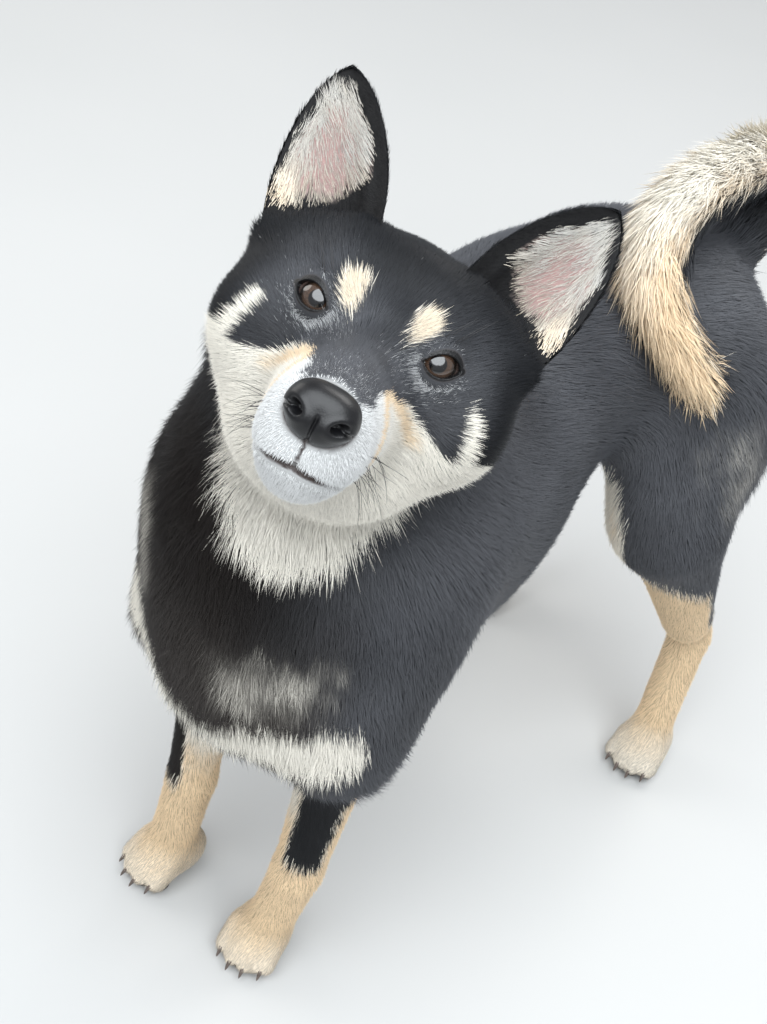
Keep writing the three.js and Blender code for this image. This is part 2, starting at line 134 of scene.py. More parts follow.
def near(p, centre, reach, field):
    """A field worked out only within reach of its centre, and far enough off elsewhere."""
    gap = length(p - np.array(centre)) - reach
    out = np.maximum(gap, 0) + 45
    close = gap < 0
    if close.any():
        out[close] = field(p[close])
    return out


# Head frame: x to the dog's left, y to the back, z up, from the middle between the eyes
HEAD_PLACE = np.array([48.5, -179, 471.3])
HEAD_TURN, HEAD_LIFT, HEAD_TILT = 33.5, 33, 14.5
HEAD = turn_about("Z", HEAD_TURN) @ turn_about("X", -HEAD_LIFT) @ turn_about("Y", HEAD_TILT)
NOSE = np.array([0, -72, -33.5])
NOSE_RADII = np.array([14.5, 11.5, 11.5])
EYE = np.array([26.5, 9.5, 0.5])
EYE_RADIUS = 10
LID_RADIUS = 10.9
EYE_FACES = unit(np.array([0.324, -0.946, 0.0]))
EYE_ACROSS = np.array([0.946, 0.324, 0.0])
MOUTH = [(0, -68, -52.2), (8, -65, -52.8), (15, -58, -53.3), (20, -47, -53.5), (24, -33, -53)]
MOUTH += [(27, -19, -50.5), (29, -10, -47)]


def on_head(p):
    return (p - HEAD_PLACE) @ HEAD


def off_head(q):
    return q @ HEAD.T + HEAD_PLACE


def mirrored(q):
    return np.abs(q) * [1, 0, 0] + q * [0, 1, 1]


def head_depth(q):
    """How deep the skin lies under the coat's outline."""
    a = mirrored(q)
    depth = mix(1.3, 2.3, ramp(-45, -15, a[:, 1]))
    depth = mix(depth, 3.6, ramp(8, 60, a[:, 1]))
    depth += 2.4 * ramp(-20, -60, a[:, 2]) * ramp(-20, 20, a[:, 1])
    return depth - 0.4 * bump(length(a - EYE), 16)


def head_field(p, coat):
    q = on_head(p)
    a = mirrored(q)
    d = fuse(
        10 + 4 * coat,
        egg(a, (0, 46, 7), (50, 53, 38)),
        egg(a, (0, 15, 15), (34, 21, 21)),
        egg(a, (36, 40, -16), (34, 40, 39)),
        egg(a, (42, 50, 26), (20 - coat, 13 - coat, 18 - coat)),
        bar(a, (24, 22, 30), 10 - coat, (60, 34, 14), 11 - 3 * coat),
        egg(a, (0, 40, -50), (48, 46, 36)),
        bar(a, (0, -6, -34), 28, (0, -54, -43), 22.5),
        bar(a, (0, 4, -12), 13, (0, -58, -29), 10.5),
        bar(a, (0, 6, -50), 21, (0, -44, -56), 12.5),
    )
    return d + coat * head_depth(q)


# Trunk, neck, legs and tail
def trunk_field(p, coat):
    a = mirrored(p)
    depth = 4.2 + 1.8 * ramp(-120, -180, p[:, 1]) + 1.5 * ramp(170, 215, p[:, 1])
    depth -= 0.6 * ramp(250, 225, p[:, 2])
    return coat * depth + fuse(
        28,
        egg(p, (-9.6, -60, 294), (81, 134, 98)),
        egg(p, (-24, 62, 328), (71, 125, 69)),
        egg(p, (-9.6, 148, 325), (74, 76, 66)),
        egg(p, (-4.8, 178, 293), (60, 44, 72)),
        egg(p, (0, -100, 358), (40, 70, 42)),
        egg(p, (4, -166, 258), (62, 46, 64)),
        egg(a, (58, -146, 230), (31, 36, 42)),
    )


def neck_field(p, coat):
    column = bar(p, (0, -112, 316), 81, (-6, -130, 404), 61)
    return fuse(26, column, egg(p, (2, -160, 330), (60, 46, 60))) + coat * 6


LEGS = {
    "fore_left": ((54, -142, 272), (46, -128, 205), (38, -132, 84), (25, -137, 0), 14),
    "fore_right": ((-54, -142, 272), (-58, -118, 204), (-49, -134, 84), (-54, -142, 0), -8),
    "hind_left": ((40, 140, 318), (64, 123, 232), (75, 203, 102), (82, 178, 0), 6),
    "hind_right": ((-52, 146, 318), (-75, 146, 234), (-87, 242, 104), (-92, 217, 0), -6),
}
TOES = (-1.5, -0.5, 0.5, 1.5)
TOE_PITCH = 9


def toe_reach(i):
    return 19 - 2.4 * i * i


def paw_point(leg, x, y, z):
    paw, yaw = LEGS[leg][3:]
    s, c = math.sin(math.radians(yaw)), math.cos(math.radians(yaw))
    return np.array([paw[0] + x * c - y * s, paw[1] + x * s + y * c, z])


def paw_field(p, leg, coat):
    toes = []
    for i in TOES:
        knuckle = paw_point(leg, i * TOE_PITCH * 0.85, -4, 19)
        end = paw_point(leg, i * TOE_PITCH, -toe_reach(i), 9.5)
        toes.append(bar(p, knuckle, 8, end, 7.4))
    palm = egg(p, paw_point(leg, 0, 4, 16), (18, 25, 18 - 1.5 * coat), yaw=LEGS[leg][4])
    return fuse(6, palm, fuse(6 - 3.2 * coat, *toes)) + coat * 1.5


def leg_depth(p):
    return 2.2 + 0.5 * ramp(80, 150, p[:, 2]) + 1.6 * ramp(180, 260, p[:, 2])


def fore_field(p, leg, coat):
    shoulder, elbow, wrist, paw, yaw = LEGS[leg]
    pastern = (mix(wrist[0], paw[0], 0.7), mix(wrist[1], paw[1], 0.6), 30)
    return coat * leg_depth(p) + fuse(
        12,
        egg(p, (shoulder[0], shoulder[1] + 12, shoulder[2] + 10), (36, 50, 76), lean=14),
        bar(p, shoulder, 34, elbow, 21),
        fuse(5, bar(p, elbow, 21, wrist, 15.5), bar(p, wrist, 16, pastern, 15)),
    )


def hind_field(p, leg, coat):
    hip, stifle, hock, paw, yaw = LEGS[leg]
    foot = (mix(hock[0], paw[0], 0.85), mix(hock[1], paw[1], 0.75), 32)
    depth = leg_depth(p) + 2 * ramp(hip[1] + 20, hip[1] + 60, p[:, 1]) * ramp(150, 200, p[:, 2])
    return coat * depth + fuse(
        18,
        egg(p, (mix(hip[0], stifle[0], 0.55), hip[1] + 12, 267), (38, 71, 75), lean=14),
        bar(p, hip, 46, stifle, 31),
        fuse(
            9,
            bar(p, (stifle[0], stifle[1] + 8, stifle[2]), 33, (hock[0], hock[1] - 20, hock[2] + 26), 18),
            bar(p, (hock[0], hock[1] - 6, hock[2] + 26), 12, hock, 12),
            bar(p, (hock[0], hock[1] - 3, hock[2]), 15.5, foot, 14.5),
        ),
    )


def limb_field(p, leg, coat):
    upper = fore_field if leg.startswith("fore") else hind_field
    hip, stifle = LEGS[leg][:2]
    middle = (stifle[0], stifle[1] + (15 if leg.startswith("hind") else 0), 172)
    return near(p, middle, 235, lambda p: fuse(10, upper(p, leg, coat), paw_field(p, leg, coat)))


TAIL_STOPS = np.array([
    (-1, 203, 352, 25),
    (0, 231, 379, 25),
    (2, 231, 407, 26),
    (6, 204, 424, 26),
    (9, 165, 430, 25),
    (11, 125, 429, 24.5),
    (15, 94, 420, 22.5),
    (26, 77, 402, 19),
    (42, 79, 378, 16.5),
    (56, 90, 358, 13),
    (63, 102, 346, 7),
], float)


def smooth_line(stops, count):
    """Points on a smooth curve through the stops."""
    ends = np.vstack([2 * stops[:1] - stops[1:2], stops, 2 * stops[-1:] - stops[-2:-1]])
    t = np.linspace(0, len(stops) - 1, count)
    i = np.minimum(t.astype(int), len(stops) - 2)
    f = (t - i)[:, None]
    a, b, c, d = ends[i], ends[i + 1], ends[i + 2], ends[i + 3]
    curved = (2 * a - 5 * b + 4 * c - d) * f**2 + (3 * b - a - 3 * c + d) * f**3
    return 0.5 * (2 * b + (c - a) * f + curved)


TAIL = smooth_line(TAIL_STOPS, 30)
TAIL_AHEAD = unit(np.gradient(TAIL[:, :3], axis=0))


def tail_field(p, coat):
    def bars(p):
        spots = TAIL[:, :3]
        radius = TAIL[:, 3] * (1 - 0.6 * coat)
        return fuse(4, *(bar(p, *ends) for ends in zip(spots, radius, spots[1:], radius[1:])))

    return near(p, (20, 150, 395), 150, bars)


def body_parts(p, coat):
    """The distance to each part of the body."""
    parts = {leg: limb_field(p, leg, coat) for leg in LEGS}
    parts["trunk"] = trunk_field(p, coat)
    parts["neck"] = near(p, (0, -130, 360), 170, lambda p: neck_field(p, coat))
    parts["head"] = near(p, off_head(np.array([0, 5, -15])), 150, lambda p: head_field(p, coat))
    parts["tail"] = tail_field(p, coat)
    return parts


def body_field(p, coat=1.0):
    part = body_parts(p, coat)
    trunk = fuse(18, part["trunk"], part["fore_left"], part["fore_right"])
    trunk = fuse(30, trunk, part["hind_left"], part["hind_right"])
    body = fuse(22, fuse(34, trunk, part["neck"]), part["head"])

    def tail_foot(p):
        return bar(p, (-1, 203, 352), 25 - 10 * coat, (0, 231, 379), 25 - 12 * coat)

    return fuse(6, fuse(16, body, near(p, (0, 217, 365), 90, tail_foot)), part["tail"])


# Skin: the surface of the body's field, as one square for each grid edge that it crosses
def sampled(field):
    """The field on a grid, worked out in full only near the surface."""
    block = 4
    count = np.ceil((BODY_HIGH - BODY_LOW) / (CELL * block)).astype(int)
    places = np.stack(np.meshgrid(*[np.arange(c) for c in count], indexing="ij"), -1).reshape(-1, 3)
    middles = BODY_LOW + (places + 0.5 - 0.5 / block) * CELL * block
    rough = field(middles)
    values = np.repeat(np.repeat(np.repeat(rough.reshape(count), block, 0), block, 1), block, 2)
    values = np.where(values < 0, -50.0, 50.0)
    close = places[np.abs(rough) < CELL * block * 1.5]
    inner = np.stack(np.meshgrid(*[np.arange(block)] * 3, indexing="ij"), -1).reshape(-1, 3)
    cells = (close[:, None] * block + inner).reshape(-1, 3)
    values[tuple(cells.T)] = field(BODY_LOW + cells * CELL)
    return values


def netted(values):
    """Points and squares of the zero surface of a grid of values."""
    solid = values < 0
    n = np.array(values.shape) - 1
    corners = [(i, j, k) for i in (0, 1) for j in (0, 1) for k in (0, 1)]

    def shifted(grid, corner):
        return grid[tuple(slice(c, c + m) for c, m in zip(corner, n))]

    inside = sum(shifted(solid, c).astype(np.int8) for c in corners)
    cells = np.argwhere((inside > 0) & (inside < 8))
    index = np.full(values.shape, -1)
    index[tuple(cells.T)] = np.arange(len(cells))
    total = np.zeros((len(cells), 3))
    crossed = np.zeros(len(cells))
    for a in corners:
        for axis in range(3):
            if a[axis]:
                continue
            b = tuple(c + (x == axis) for x, c in enumerate(a))
            va = values[tuple((cells + a).T)]
            vb = values[tuple((cells + b).T)]
            cut = (va < 0) != (vb < 0)
            t = np.where(cut, va / np.where(cut, va - vb, 1), 0)
            spot = np.array(a) + t[:, None] * np.eye(3)[axis]
            total += np.where(cut[:, None], spot, 0)
            crossed += cut
    points = BODY_LOW + (cells + total / crossed[:, None]) * CELL
    squares = []
    for axis, (one, two) in enumerate(((1, 2), (2, 0), (0, 1))):
        ahead = [slice(1, -1)] * 3
        ahead[axis] = slice(2, None)
        here = solid[1:-1, 1:-1, 1:-1]
        cut = np.argwhere(here != solid[tuple(ahead)]) + 1
        back = np.eye(3, dtype=int)
        ring = [cut, cut - back[one], cut - back[one] - back[two], cut - back[two]]
        square = np.stack([index[tuple(r.T)] for r in ring], 1)
        flip = ~solid[tuple(cut.T)]
        square[flip] = square[flip][:, ::-1]
        squares.append(square)
    return points, np.vstack(squares)


def slope(field, p):
    e = 0.4
    d = field(p)
    return d, np.stack([(field(p + e * np.eye(3)[i]) - d) / e for i in range(3)], 1)


def settled(p, field, steps=2):
    """Points moved onto the surface of a field."""
    for _ in range(steps):
        d, g = slope(field, p)
        move = d[:, None] * g / np.maximum(dot(g, g), 0.3)[:, None]
        p = p - move / np.maximum(length(move) / (0.5 * CELL), 1)[:, None]
    return p


def eye_frame(a):
    """Across, up and out of the eye's opening, for points of the mirrored head frame."""
    d = a - EYE
    return d @ EYE_ACROSS, d[:, 2], d @ EYE_FACES


def eye_opening(u, v):
    """Distance from the edge of the lids, negative in the opening."""
    v = v - 0.17 * u
    s = np.clip(np.abs(u) / 7.8, 0, 1)
    upper = 5.0 * (1 - s**2.2) ** 0.85
    lower = -4.4 * (1 - s**2.1) ** 0.9
    beyond = np.maximum(np.abs(u) - 7.6, 0)
    return np.where(beyond > 0, np.hypot(beyond, v), np.maximum(v - upper, lower - v) * 0.85)


def line_distance(p, line):
    """Distance to a line of points, and the share of the way along it."""
    best = np.full(len(p), 1e9)
    along = np.zeros(len(p))
    for i in range(len(line) - 1):
        a = np.array(line[i], float)
        u = np.array(line[i + 1]) - a
        t = np.clip((p - a) @ u / (u @ u), 0, 1)
        d = length(p - a - t[:, None] * u)
        along = np.where(d < best, (i + t) / (len(line) - 1), along)
        best = np.minimum(best, d)
    return best, along


def on_skin(line, steps=6):
    """Points of the head's frame, moved onto the skin."""
    return on_head(settled(off_head(np.array(line, float)), body_field, steps))


mouth_line = on_skin(smooth_line(np.array(MOUTH, float), 19))
STRIP = [(14, -29, -15), (17, -35, -21), (21, -37, -30), (23.5, -42, -41)]
strip_line = on_skin(smooth_line(np.array(STRIP, float), 9))
wedge_line = on_skin([(17, -25, -17), (24, -11, -21), (31, -3, -27), (35, 0, -33)])


def below_nose(a):
    """One between the nose and the mouth."""
    return ramp(-54, -51, a[:, 2]) * ramp(-40, -44, a[:, 2])


def features(p, out):
    """The lids, eye sockets, lips and the split below the nose, as small moves of the skin."""
    q = on_head(p)
    a = mirrored(q)
    outward = out @ HEAD
    side = np.where(q[:, 0] < 0, -1, 1)
    mirror = np.stack([side, side**2, side**2], 1)
    outward = outward * mirror
    u, v, w = eye_frame(a)
    r2 = u * u + v * v
    front = (length(a - EYE) < 24) & (w > 0)
    lid = np.sqrt(np.maximum(LID_RADIUS**2 - r2, 0))
    h = np.maximum(5 - np.abs(w - lid), 0) / 5
    over = np.where(r2 < LID_RADIUS**2, np.maximum(w, lid) + h * h * 5 / 4, w)
    edge = eye_opening(u, v)
    over = over - 0.9 * bump(edge - 4.3, 1.1) * (v > -1) * bump(u, 9)
    over = over - 0.5 * bump(edge - 5.0, 1.3) * (v < -1) * bump(u, 8)
    pocket = np.sqrt(np.maximum(9.9**2 - r2, 0)) - 2.0
    level = mix(pocket, over, ramp(-0.4, 0.3, edge))
    move = np.where(front, level - w, 0) * ramp(24, 15, length(a - EYE))
    a = a + move[:, None] * EYE_FACES
    d, along = line_distance(a, mouth_line)
    below = a[:, 2] < np.interp(-a[:, 1], -mouth_line[:, 1], mouth_line[:, 2])
    groove = -2.3 * bump(d, 1.15) * mix(1, 0.3, along)
    groove += 1.1 * bump(d - 3.4, 2.2) * np.where(below, 0.2, 1)
    fades = ramp(-2, -14, a[:, 1])
    a = a + (groove * fades)[:, None] * outward
    split = -1.1 * bump(a[:, 0], 0.8) * ramp(-60, -64, a[:, 1]) * below_nose(a)
    a = a + split[:, None] * outward
    return off_head(a * mirror)


def set_points(mesh, points):
    mesh.vertices.foreach_set("co", ((points + SHIFT) * MM).astype(np.float32).ravel())


def mesh_of(name, points, faces):
    mesh = bpy.data.meshes.new(name)
    mesh.from_pydata([], [], [])
    mesh.vertices.add(len(points))
    set_points(mesh, points)
    corners = faces.shape[1]
    mesh.loops.add(faces.size)
    mesh.loops.foreach_set("vertex_index", faces.astype(np.int32).ravel())
    mesh.polygons.add(len(faces))
    mesh.polygons.foreach_set("loop_start", np.arange(0, faces.size, corners, dtype=np.int32))
    mesh.polygons.foreach_set("use_smooth", np.ones(len(faces), bool))
    mesh.update(calc_edges=True)
    return mesh


def piece(name, mesh, finish):
    mesh.materials.append(finish)
    made = bpy.data.objects.new(name, mesh)
    bpy.context.scene.collection.objects.link(made)
    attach(made, "root")
    return made


def paint(mesh, name, *values):
    """A three-part value for each point of a mesh, read by its finish."""
    layer = mesh.attributes.new(name, "FLOAT_VECTOR", "POINT")
    layer.data.foreach_set("vector", np.stack(values, 1).astype(np.float32).ravel())


def rows_of(items, key, kind=np.float32):
    flat = np.empty(len(items) * 3, kind)
    items.foreach_get(key, flat)
    return flat.reshape(-1, 3)


def points_of(mesh):
    return rows_of(mesh.vertices, "co").astype(float) / MM - SHIFT


def normals_of(mesh):
    return rows_of(mesh.vertex_normals, "vector").astype(float)


def triangles_of(mesh):
    mesh.calc_loop_triangles()
    return rows_of(mesh.loop_triangles, "vertices", np.int32)


def refined(mesh, wanted):
    """Squares split in four where wanted says so of their corners."""
    near_face = wanted(on_head(points_of(mesh)))
    work = bmesh.new()
    work.from_mesh(mesh)
    edges = [e for e in work.edges if near_face[e.verts[0].index] and near_face[e.verts[1].index]]
    bmesh.ops.subdivide_edges(work, edges=edges, cuts=1, use_grid_fill=True)
    work.to_mesh(mesh)
    work.free()


def ring_faces(rings, around):
    """Squares between rings of points."""
    k = np.arange(around)
    ahead = (k + 1) % around
    ring = np.stack([k, ahead, ahead + around, k + around], 1)
    return (np.arange(rings - 1)[:, None, None] * around + ring).reshape(-1, 4)


def face_zone(q):
    a = mirrored(q)
    return (a[:, 1] < 22) & (a[:, 2] > -75) & (a[:, 2] < 34)


def fine_zone(q):
    a = mirrored(q)
    eye = length(a - EYE) < 17
    lips = line_distance(a, mouth_line)[0] < 6
    return (eye | lips) & (a[:, 1] < 16)


def finest_zone(q):
    a = mirrored(q)
    u, v, w = eye_frame(a)
    return (length(a - EYE) < 14) & (np.abs(eye_opening(u, v)) < 3.2)


# Ears: rings from below the foot to the tip, each a thin crescent open to the front
EAR_FOOT = np.array([44, 34, 36.0])
EAR_TIP = np.array([62.5, 45, 91.0])
EAR_HEIGHT = length(EAR_TIP - EAR_FOOT)
EAR_UP = (EAR_TIP - EAR_FOOT) / EAR_HEIGHT
EAR_OUT = unit(np.cross([0.79, 0.33, -0.51], EAR_UP))
EAR_SIDE = np.cross(EAR_UP, EAR_OUT)


def ear_rim(s, t):
    """Above zero on the dark rim inside the ear: thin outside, thicker inside and at the tip."""
    narrow = ramp(0.42, 0.85, s)
    sides = np.maximum(t - 0.86 + 0.36 * narrow, -0.70 - t + 0.36 * narrow)
    return np.maximum(sides, np.maximum(s - 0.80, 0.16 * ramp(0.1, -0.7, t) - s))


def ear(side, rings=46, around=72):
    """Points, faces and, for each point, height, place across and whether it is in the cup."""
    s = mix(-0.42, 1, np.sin(np.linspace(0, math.pi / 2, rings)))
    s = np.minimum(s, 0.997)[:, None]
    angle = np.arange(around) / around * 2 * math.pi
    t = np.cos(angle)[None]
    rise = np.maximum(s, 0)
    outer = 26 * (1 - rise**2) ** 0.62 + 0.6
    inner = 30 * (1 - rise**1.6) ** 0.66 + 0.6
    cup = mix(12, 2.5, np.clip(s, 0, 1))
    wall = 1.25 * (1 - 0.5 * ramp(0.8, 1, s)) * np.sin(angle)[None]
    u = t * np.where(t > 0, outer - 1.4, inner - 1.4)
    fold = 2.6 * bump(t - 0.55, 0.13) * bump(s - 0.1, 0.22)
    fold = fold + 1.4 * bump(t + 0.6, 0.12) * bump(s - 0.12, 0.3)
    w = cup * (t * t - 0.4) + wall + np.where(np.sin(angle) > 0, fold, fold * 0.4)
    v = EAR_HEIGHT * s + 0 * t
    q = EAR_FOOT + u[..., None] * EAR_SIDE + v[..., None] * EAR_UP + w[..., None] * EAR_OUT
    q = q.reshape(-1, 3) * [side, 1, 1]
    k = np.arange(1, around // 2 - 1)
    cap = (rings - 1) * around + np.stack([k, k + 1, around - 1 - k, around - k], 1)
    faces = np.vstack([ring_faces(rings, around), cap])
    if side > 0:
        faces = faces[:, ::-1]
    tags = np.stack([s + 0 * t, t + 0 * s, np.sin(angle)[None] + 0 * s], -1).reshape(-1, 3)
    return off_head(q), faces, tags


# Markings
def neck_shield(p):
    """One on the pale shield of the throat."""
    angle = np.degrees(np.arctan2(p[:, 0] + 3, -(p[:, 1] + 125)))
    z = p[:, 2]
    middle = mix(23, 33, np.clip((z - 332) / 60, 0, 1))
    half = 42 * np.sqrt(np.clip((z - 338) / 60, 0, 1)) + 32 * np.clip((z - 398) / 50, 0, 1)
    half = half - 16 * ramp(347, 331, z)
    return half - np.abs(angle - middle)


def markings(p, own):
    """Tan, pale, silver, cool and misty shares of the coat at points of the body."""
    wave = noise(p, 9, 21) * 2.2 + noise(p, 4, 22) * 1.2  # the markings' ragged edges
    a = mirrored(on_head(p))
    x, y, z = a.T
    on_skull = own["head"]

    def spot(line, low, high, edge=1.2):
        d, along = line_distance(a, line)
        return ramp(edge, -edge, d - mix(low, high, along) + 0.5 * wave)

    brow = spot(((14, -8, 2), (16, -5, 13)), 3.6, 6.4, 1.8)
    cheek = spot(((49, 4, -9), (57, 12, -30)), 3.2, 5.0, 1.6)
    line = np.interp(x, (0, 15, 23, 40, 50, 57, 75), (-16, -17, -19.5, -27.5, -30, -27.5, -25))
    lower = ramp(1.5, -1.5, z - line + 0.8 * wave + 5 * ramp(30, 60, y))
    bridge = ramp(2, -1, x - np.interp(-y, (0, 30, 60, 68), (17, 14.5, 12.5, 10)) + 0.5 * wave)
    bridge *= ramp(-38, -32, z) * ramp(-70, -64, y)
    lower = lower * (1 - bridge)
    strip = spot(strip_line, 4.4, 3.2, 2.4)
    wedge = spot(wedge_line, 4.8, 2.8, 3)
    tan = on_skull * np.maximum.reduce([0.5 * brow, 0.9 * strip, 0.85 * wedge])
    pale = on_skull * np.maximum.reduce([lower, cheek, brow])
    eye_gap = length(a - EYE - [0, -8, 0])
    grizzle = 0.65 * ramp(21, 9, eye_gap) * ramp(7, -3, z) + 0.4 * ramp(15, 9, eye_gap)
    grizzle += 0.45 * bump(length(a - [14, -13, -6]), 6) + 0.4 * ramp(-20, -62, y) * bridge + 0.004
    silver = on_skull * grizzle * (1 - lower)
    cool = on_skull * 0.6 * ramp(-5, -62, y) * (1 - np.maximum(strip, wedge))

    on_neck = own["neck"]
    pale = np.where(on_neck, ramp(-9, 6, neck_shield(p) + 2.0 * wave), pale)

    px, py, pz = p.T
    front = ramp(-128, -150, py)
    left_bar = bar(p, (38, -196, 231), 15, (70, -172, 240), 16) + 1.6 * wave
    right_bar = bar(p, (-18, -202, 229), 10, (-64, -184, 245), 17) + 1.6 * wave
    link = bar(p, (-18, -202, 226), 7, (38, -196, 227), 9) + 1.2 * wave
    chest = ramp(4, -4, np.minimum.reduce([left_bar, right_bar, link])) * front
    faint = np.maximum(
        0.8 * ramp(14, -10, bar(p, (-60, -190, 318), 8, (-50, -196, 288), 8) + 2 * wave),
        ramp(16, -12, bar(p, (66, -190, 284), 6, (34, -204, 273), 7) + 4 * wave),
    )
    haunch = ramp(26, -12, bar(p, (78, 132, 296), 6, (84, 150, 262), 8) + 5 * wave)
    mist = 0.6 * faint * front * (1 - chest)
    belly = 0.85 * ramp(36, 18, np.abs(px + 6) + 3 * wave) * ramp(240, 218, pz) * ramp(-190, -120, py)
    seat = ramp(30, 16, np.abs(px - 1) + 2 * wave) * ramp(196, 212, py) * ramp(345, 330, pz)
    on_trunk = own["trunk"]
    pale = np.where(on_trunk | on_neck, np.maximum.reduce([pale, belly, seat * 0.9]), pale)
    tan = np.where(on_trunk, 0.25 * belly + 0.35 * seat, tan)

    for leg, (top, knee, low, paw, yaw) in LEGS.items():
        mine = own[leg]
        left = 1 if leg.endswith("left") else -1
        joints = np.array([paw, low, knee, top], float)
        outer = (px - np.interp(pz, joints[:, 2], joints[:, 0])) * left
        behind = py - np.interp(pz, joints[:, 2], joints[:, 1])
        if leg.startswith("fore"):
            dark = ramp(150, 176, pz + 1.2 * wave)
            stripe_low = 98 if left > 0 else 84
            stripe = ramp(-5, 0, outer + 0.35 * wave) * ramp(stripe_low - 6, stripe_low + 10, pz)
            stripe *= ramp(2, -5, behind + wave)
            inner_pale = ramp(2, -8, outer) * ramp(215, 190, pz) * ramp(120, 150, pz)
            if left < 0:
                inside = ramp(4, -4, outer + wave) * ramp(95, 130, pz + 4 * wave)
                inner_pale = np.maximum(inner_pale, inside)
            dark = np.maximum(dark * (1 - 0.9 * ramp(-2, -12, outer)), stripe)
            cream = np.maximum(0.7 * ramp(38, 8, pz + wave), inner_pale)
        else:
            dark = ramp(164, 186, pz + 1.2 * wave + 0.55 * behind)
            back_stripe = ramp(-2, 6, behind + wave) * ramp(0, 6, outer) * ramp(112, 140, pz)
            inside = ramp(-4, -13, outer + wave) * ramp(275, 255, pz)
            dark = np.maximum(dark, back_stripe) * (1 - inside)
            edge = np.minimum(outer + 14, behind + 29) + wave
            cream = np.maximum(0.9 * ramp(44, 12, pz + wave), ramp(3, -7, edge) * ramp(100, 135, pz))
        tan = np.where(mine, (1 - dark) * (1 - 0.85 * cream), tan)
        pale = np.where(mine, (1 - dark), pale)

    fore_part = (on_trunk | on_neck | own["fore_left"] | own["fore_right"]) & (pz > 195)
    pale = np.where(fore_part, np.maximum(pale, chest), pale)
    tan = np.where(fore_part, tan * (1 - chest), tan)
    mist = np.where(fore_part, mist, 0.24 * haunch)

    on_tail = own["tail"]
    at = nearest_on_tail(p)
    spoke = unit(p - TAIL[at, :3])
    hub = unit(TAIL[at, :3] - [14, 150, 372])
    falling = ramp(16, 22, at)
    hub = unit(mix(hub, np.array([-0.55, -0.8, 0.2]), falling[:, None]))
    outside = dot(spoke, hub) + 0.10 * wave
    share = at / (len(TAIL) - 1)
    pale_tail = ramp(-0.25, 0.15, outside + 0.55 * falling) * ramp(0.0, 0.14, share)
    warm = np.clip(ramp(0.75, 0.1, outside) + ramp(0.6, 0.85, share), 0, 1)
    pale = np.where(on_tail, pale_tail, pale)
    tan = np.where(on_tail, pale_tail * np.minimum(0.02 + 0.55 * warm + 0.35 * falling, 1), tan)
    return np.clip(np.stack([tan, pale, silver, cool, mist], 1), 0, 1)


def nearest_on_tail(p):
    best = np.full(len(p), 1e9)
    at = np.zeros(len(p), int)
    for i, stop in enumerate(TAIL):
        d = length(p - stop[:3])
        at = np.where(d < best, i, at)
        best = np.minimum(best, d)
    return at


def owners(p):
    """Which part of the body each point of the coat lies on, and soft shares of the parts."""
    parts = body_parts(p, 0.0)
    stack = np.stack(list(parts.values()))
    nearest = stack.argmin(0)
    soft = np.exp(-(stack - stack.min(0)) / 9)
    soft /= soft.sum(0)
    return {name: nearest == i for i, name in enumerate(parts)}, dict(zip(parts, soft))


def lie(p, soft):
    """The direction in which the hair lies, before it is laid along the skin."""
    q = on_head(p)
    a = mirrored(q)
    face = unit(q - (NOSE + [0, 2, 2])) * [0.8, 1, 1]
    ear_foot = bump(length(a - [46, 38, 33]), 17)[:, None]
    face = mix(face, (EAR_UP + [0, -0.1, 0]) * np.where(q[:, :1] < 0, [-1, 1, 1], [1, 1, 1]), ear_foot)
    flow = {
        "head": unit(face) @ HEAD.T,
        "neck": np.stack([0.0 * p[:, 0], 0.35 + 0.35 * ramp(-150, -100, p[:, 1]), -1 + 0 * p[:, 0]], 1),
    }
    low = ramp(-110, -175, p[:, 1])
    flow["trunk"] = np.stack([
        0.25 * np.sign(p[:, 0]) * ramp(330, 390, p[:, 2]),
        mix(1.0, 0.25, low),
        mix(-0.35, -1.0, low) * ramp(200, 240, p[:, 2]),
    ], 1)
    for leg in LEGS:
        foot = ramp(46, 20, p[:, 2])
        back = 0.45 if leg.startswith("hind") else 0.2
        flow[leg] = np.stack([0 * foot, mix(back, -0.9, foot), mix(-1, -0.35, foot)], 1)
    at = nearest_on_tail(p)
    flow["tail"] = TAIL_AHEAD[at] + 0.25 * unit(p - TAIL[at, :3])
    total = sum(soft[name][:, None] * unit(flow[name]) for name in soft)
    return unit(total)


# Finishes
class Wire:
    """A node socket that takes part in sums."""

    def __init__(self, tree, socket):
        self.tree = tree
        self.socket = socket

    def sum_of(self, operation, *values):
        node = self.tree.nodes.new("ShaderNodeMath")
        node.operation = operation
        for slot, value in zip(node.inputs, values):
            connect(self.tree, slot, value)
        return Wire(self.tree, node.outputs[0])

    def __add__(self, other):
        return self.sum_of("ADD", self, other)

    def __sub__(self, other):
        return self.sum_of("SUBTRACT", self, other)

    def __rsub__(self, other):
        return self.sum_of("SUBTRACT", other, self)

    def __mul__(self, other):
        return self.sum_of("MULTIPLY", self, other)

    def clipped(self):
        return self.sum_of("MINIMUM", self.sum_of("MAXIMUM", self, 0), 1)

    __radd__ = __add__
    __rmul__ = __mul__


def connect(tree, socket, value):
    if isinstance(value, Wire):
        tree.links.new(value.socket, socket)
    elif isinstance(value, tuple) and socket.type == "RGBA":
        socket.default_value = (*value, 1)[:4]
    else:
        socket.default_value = value


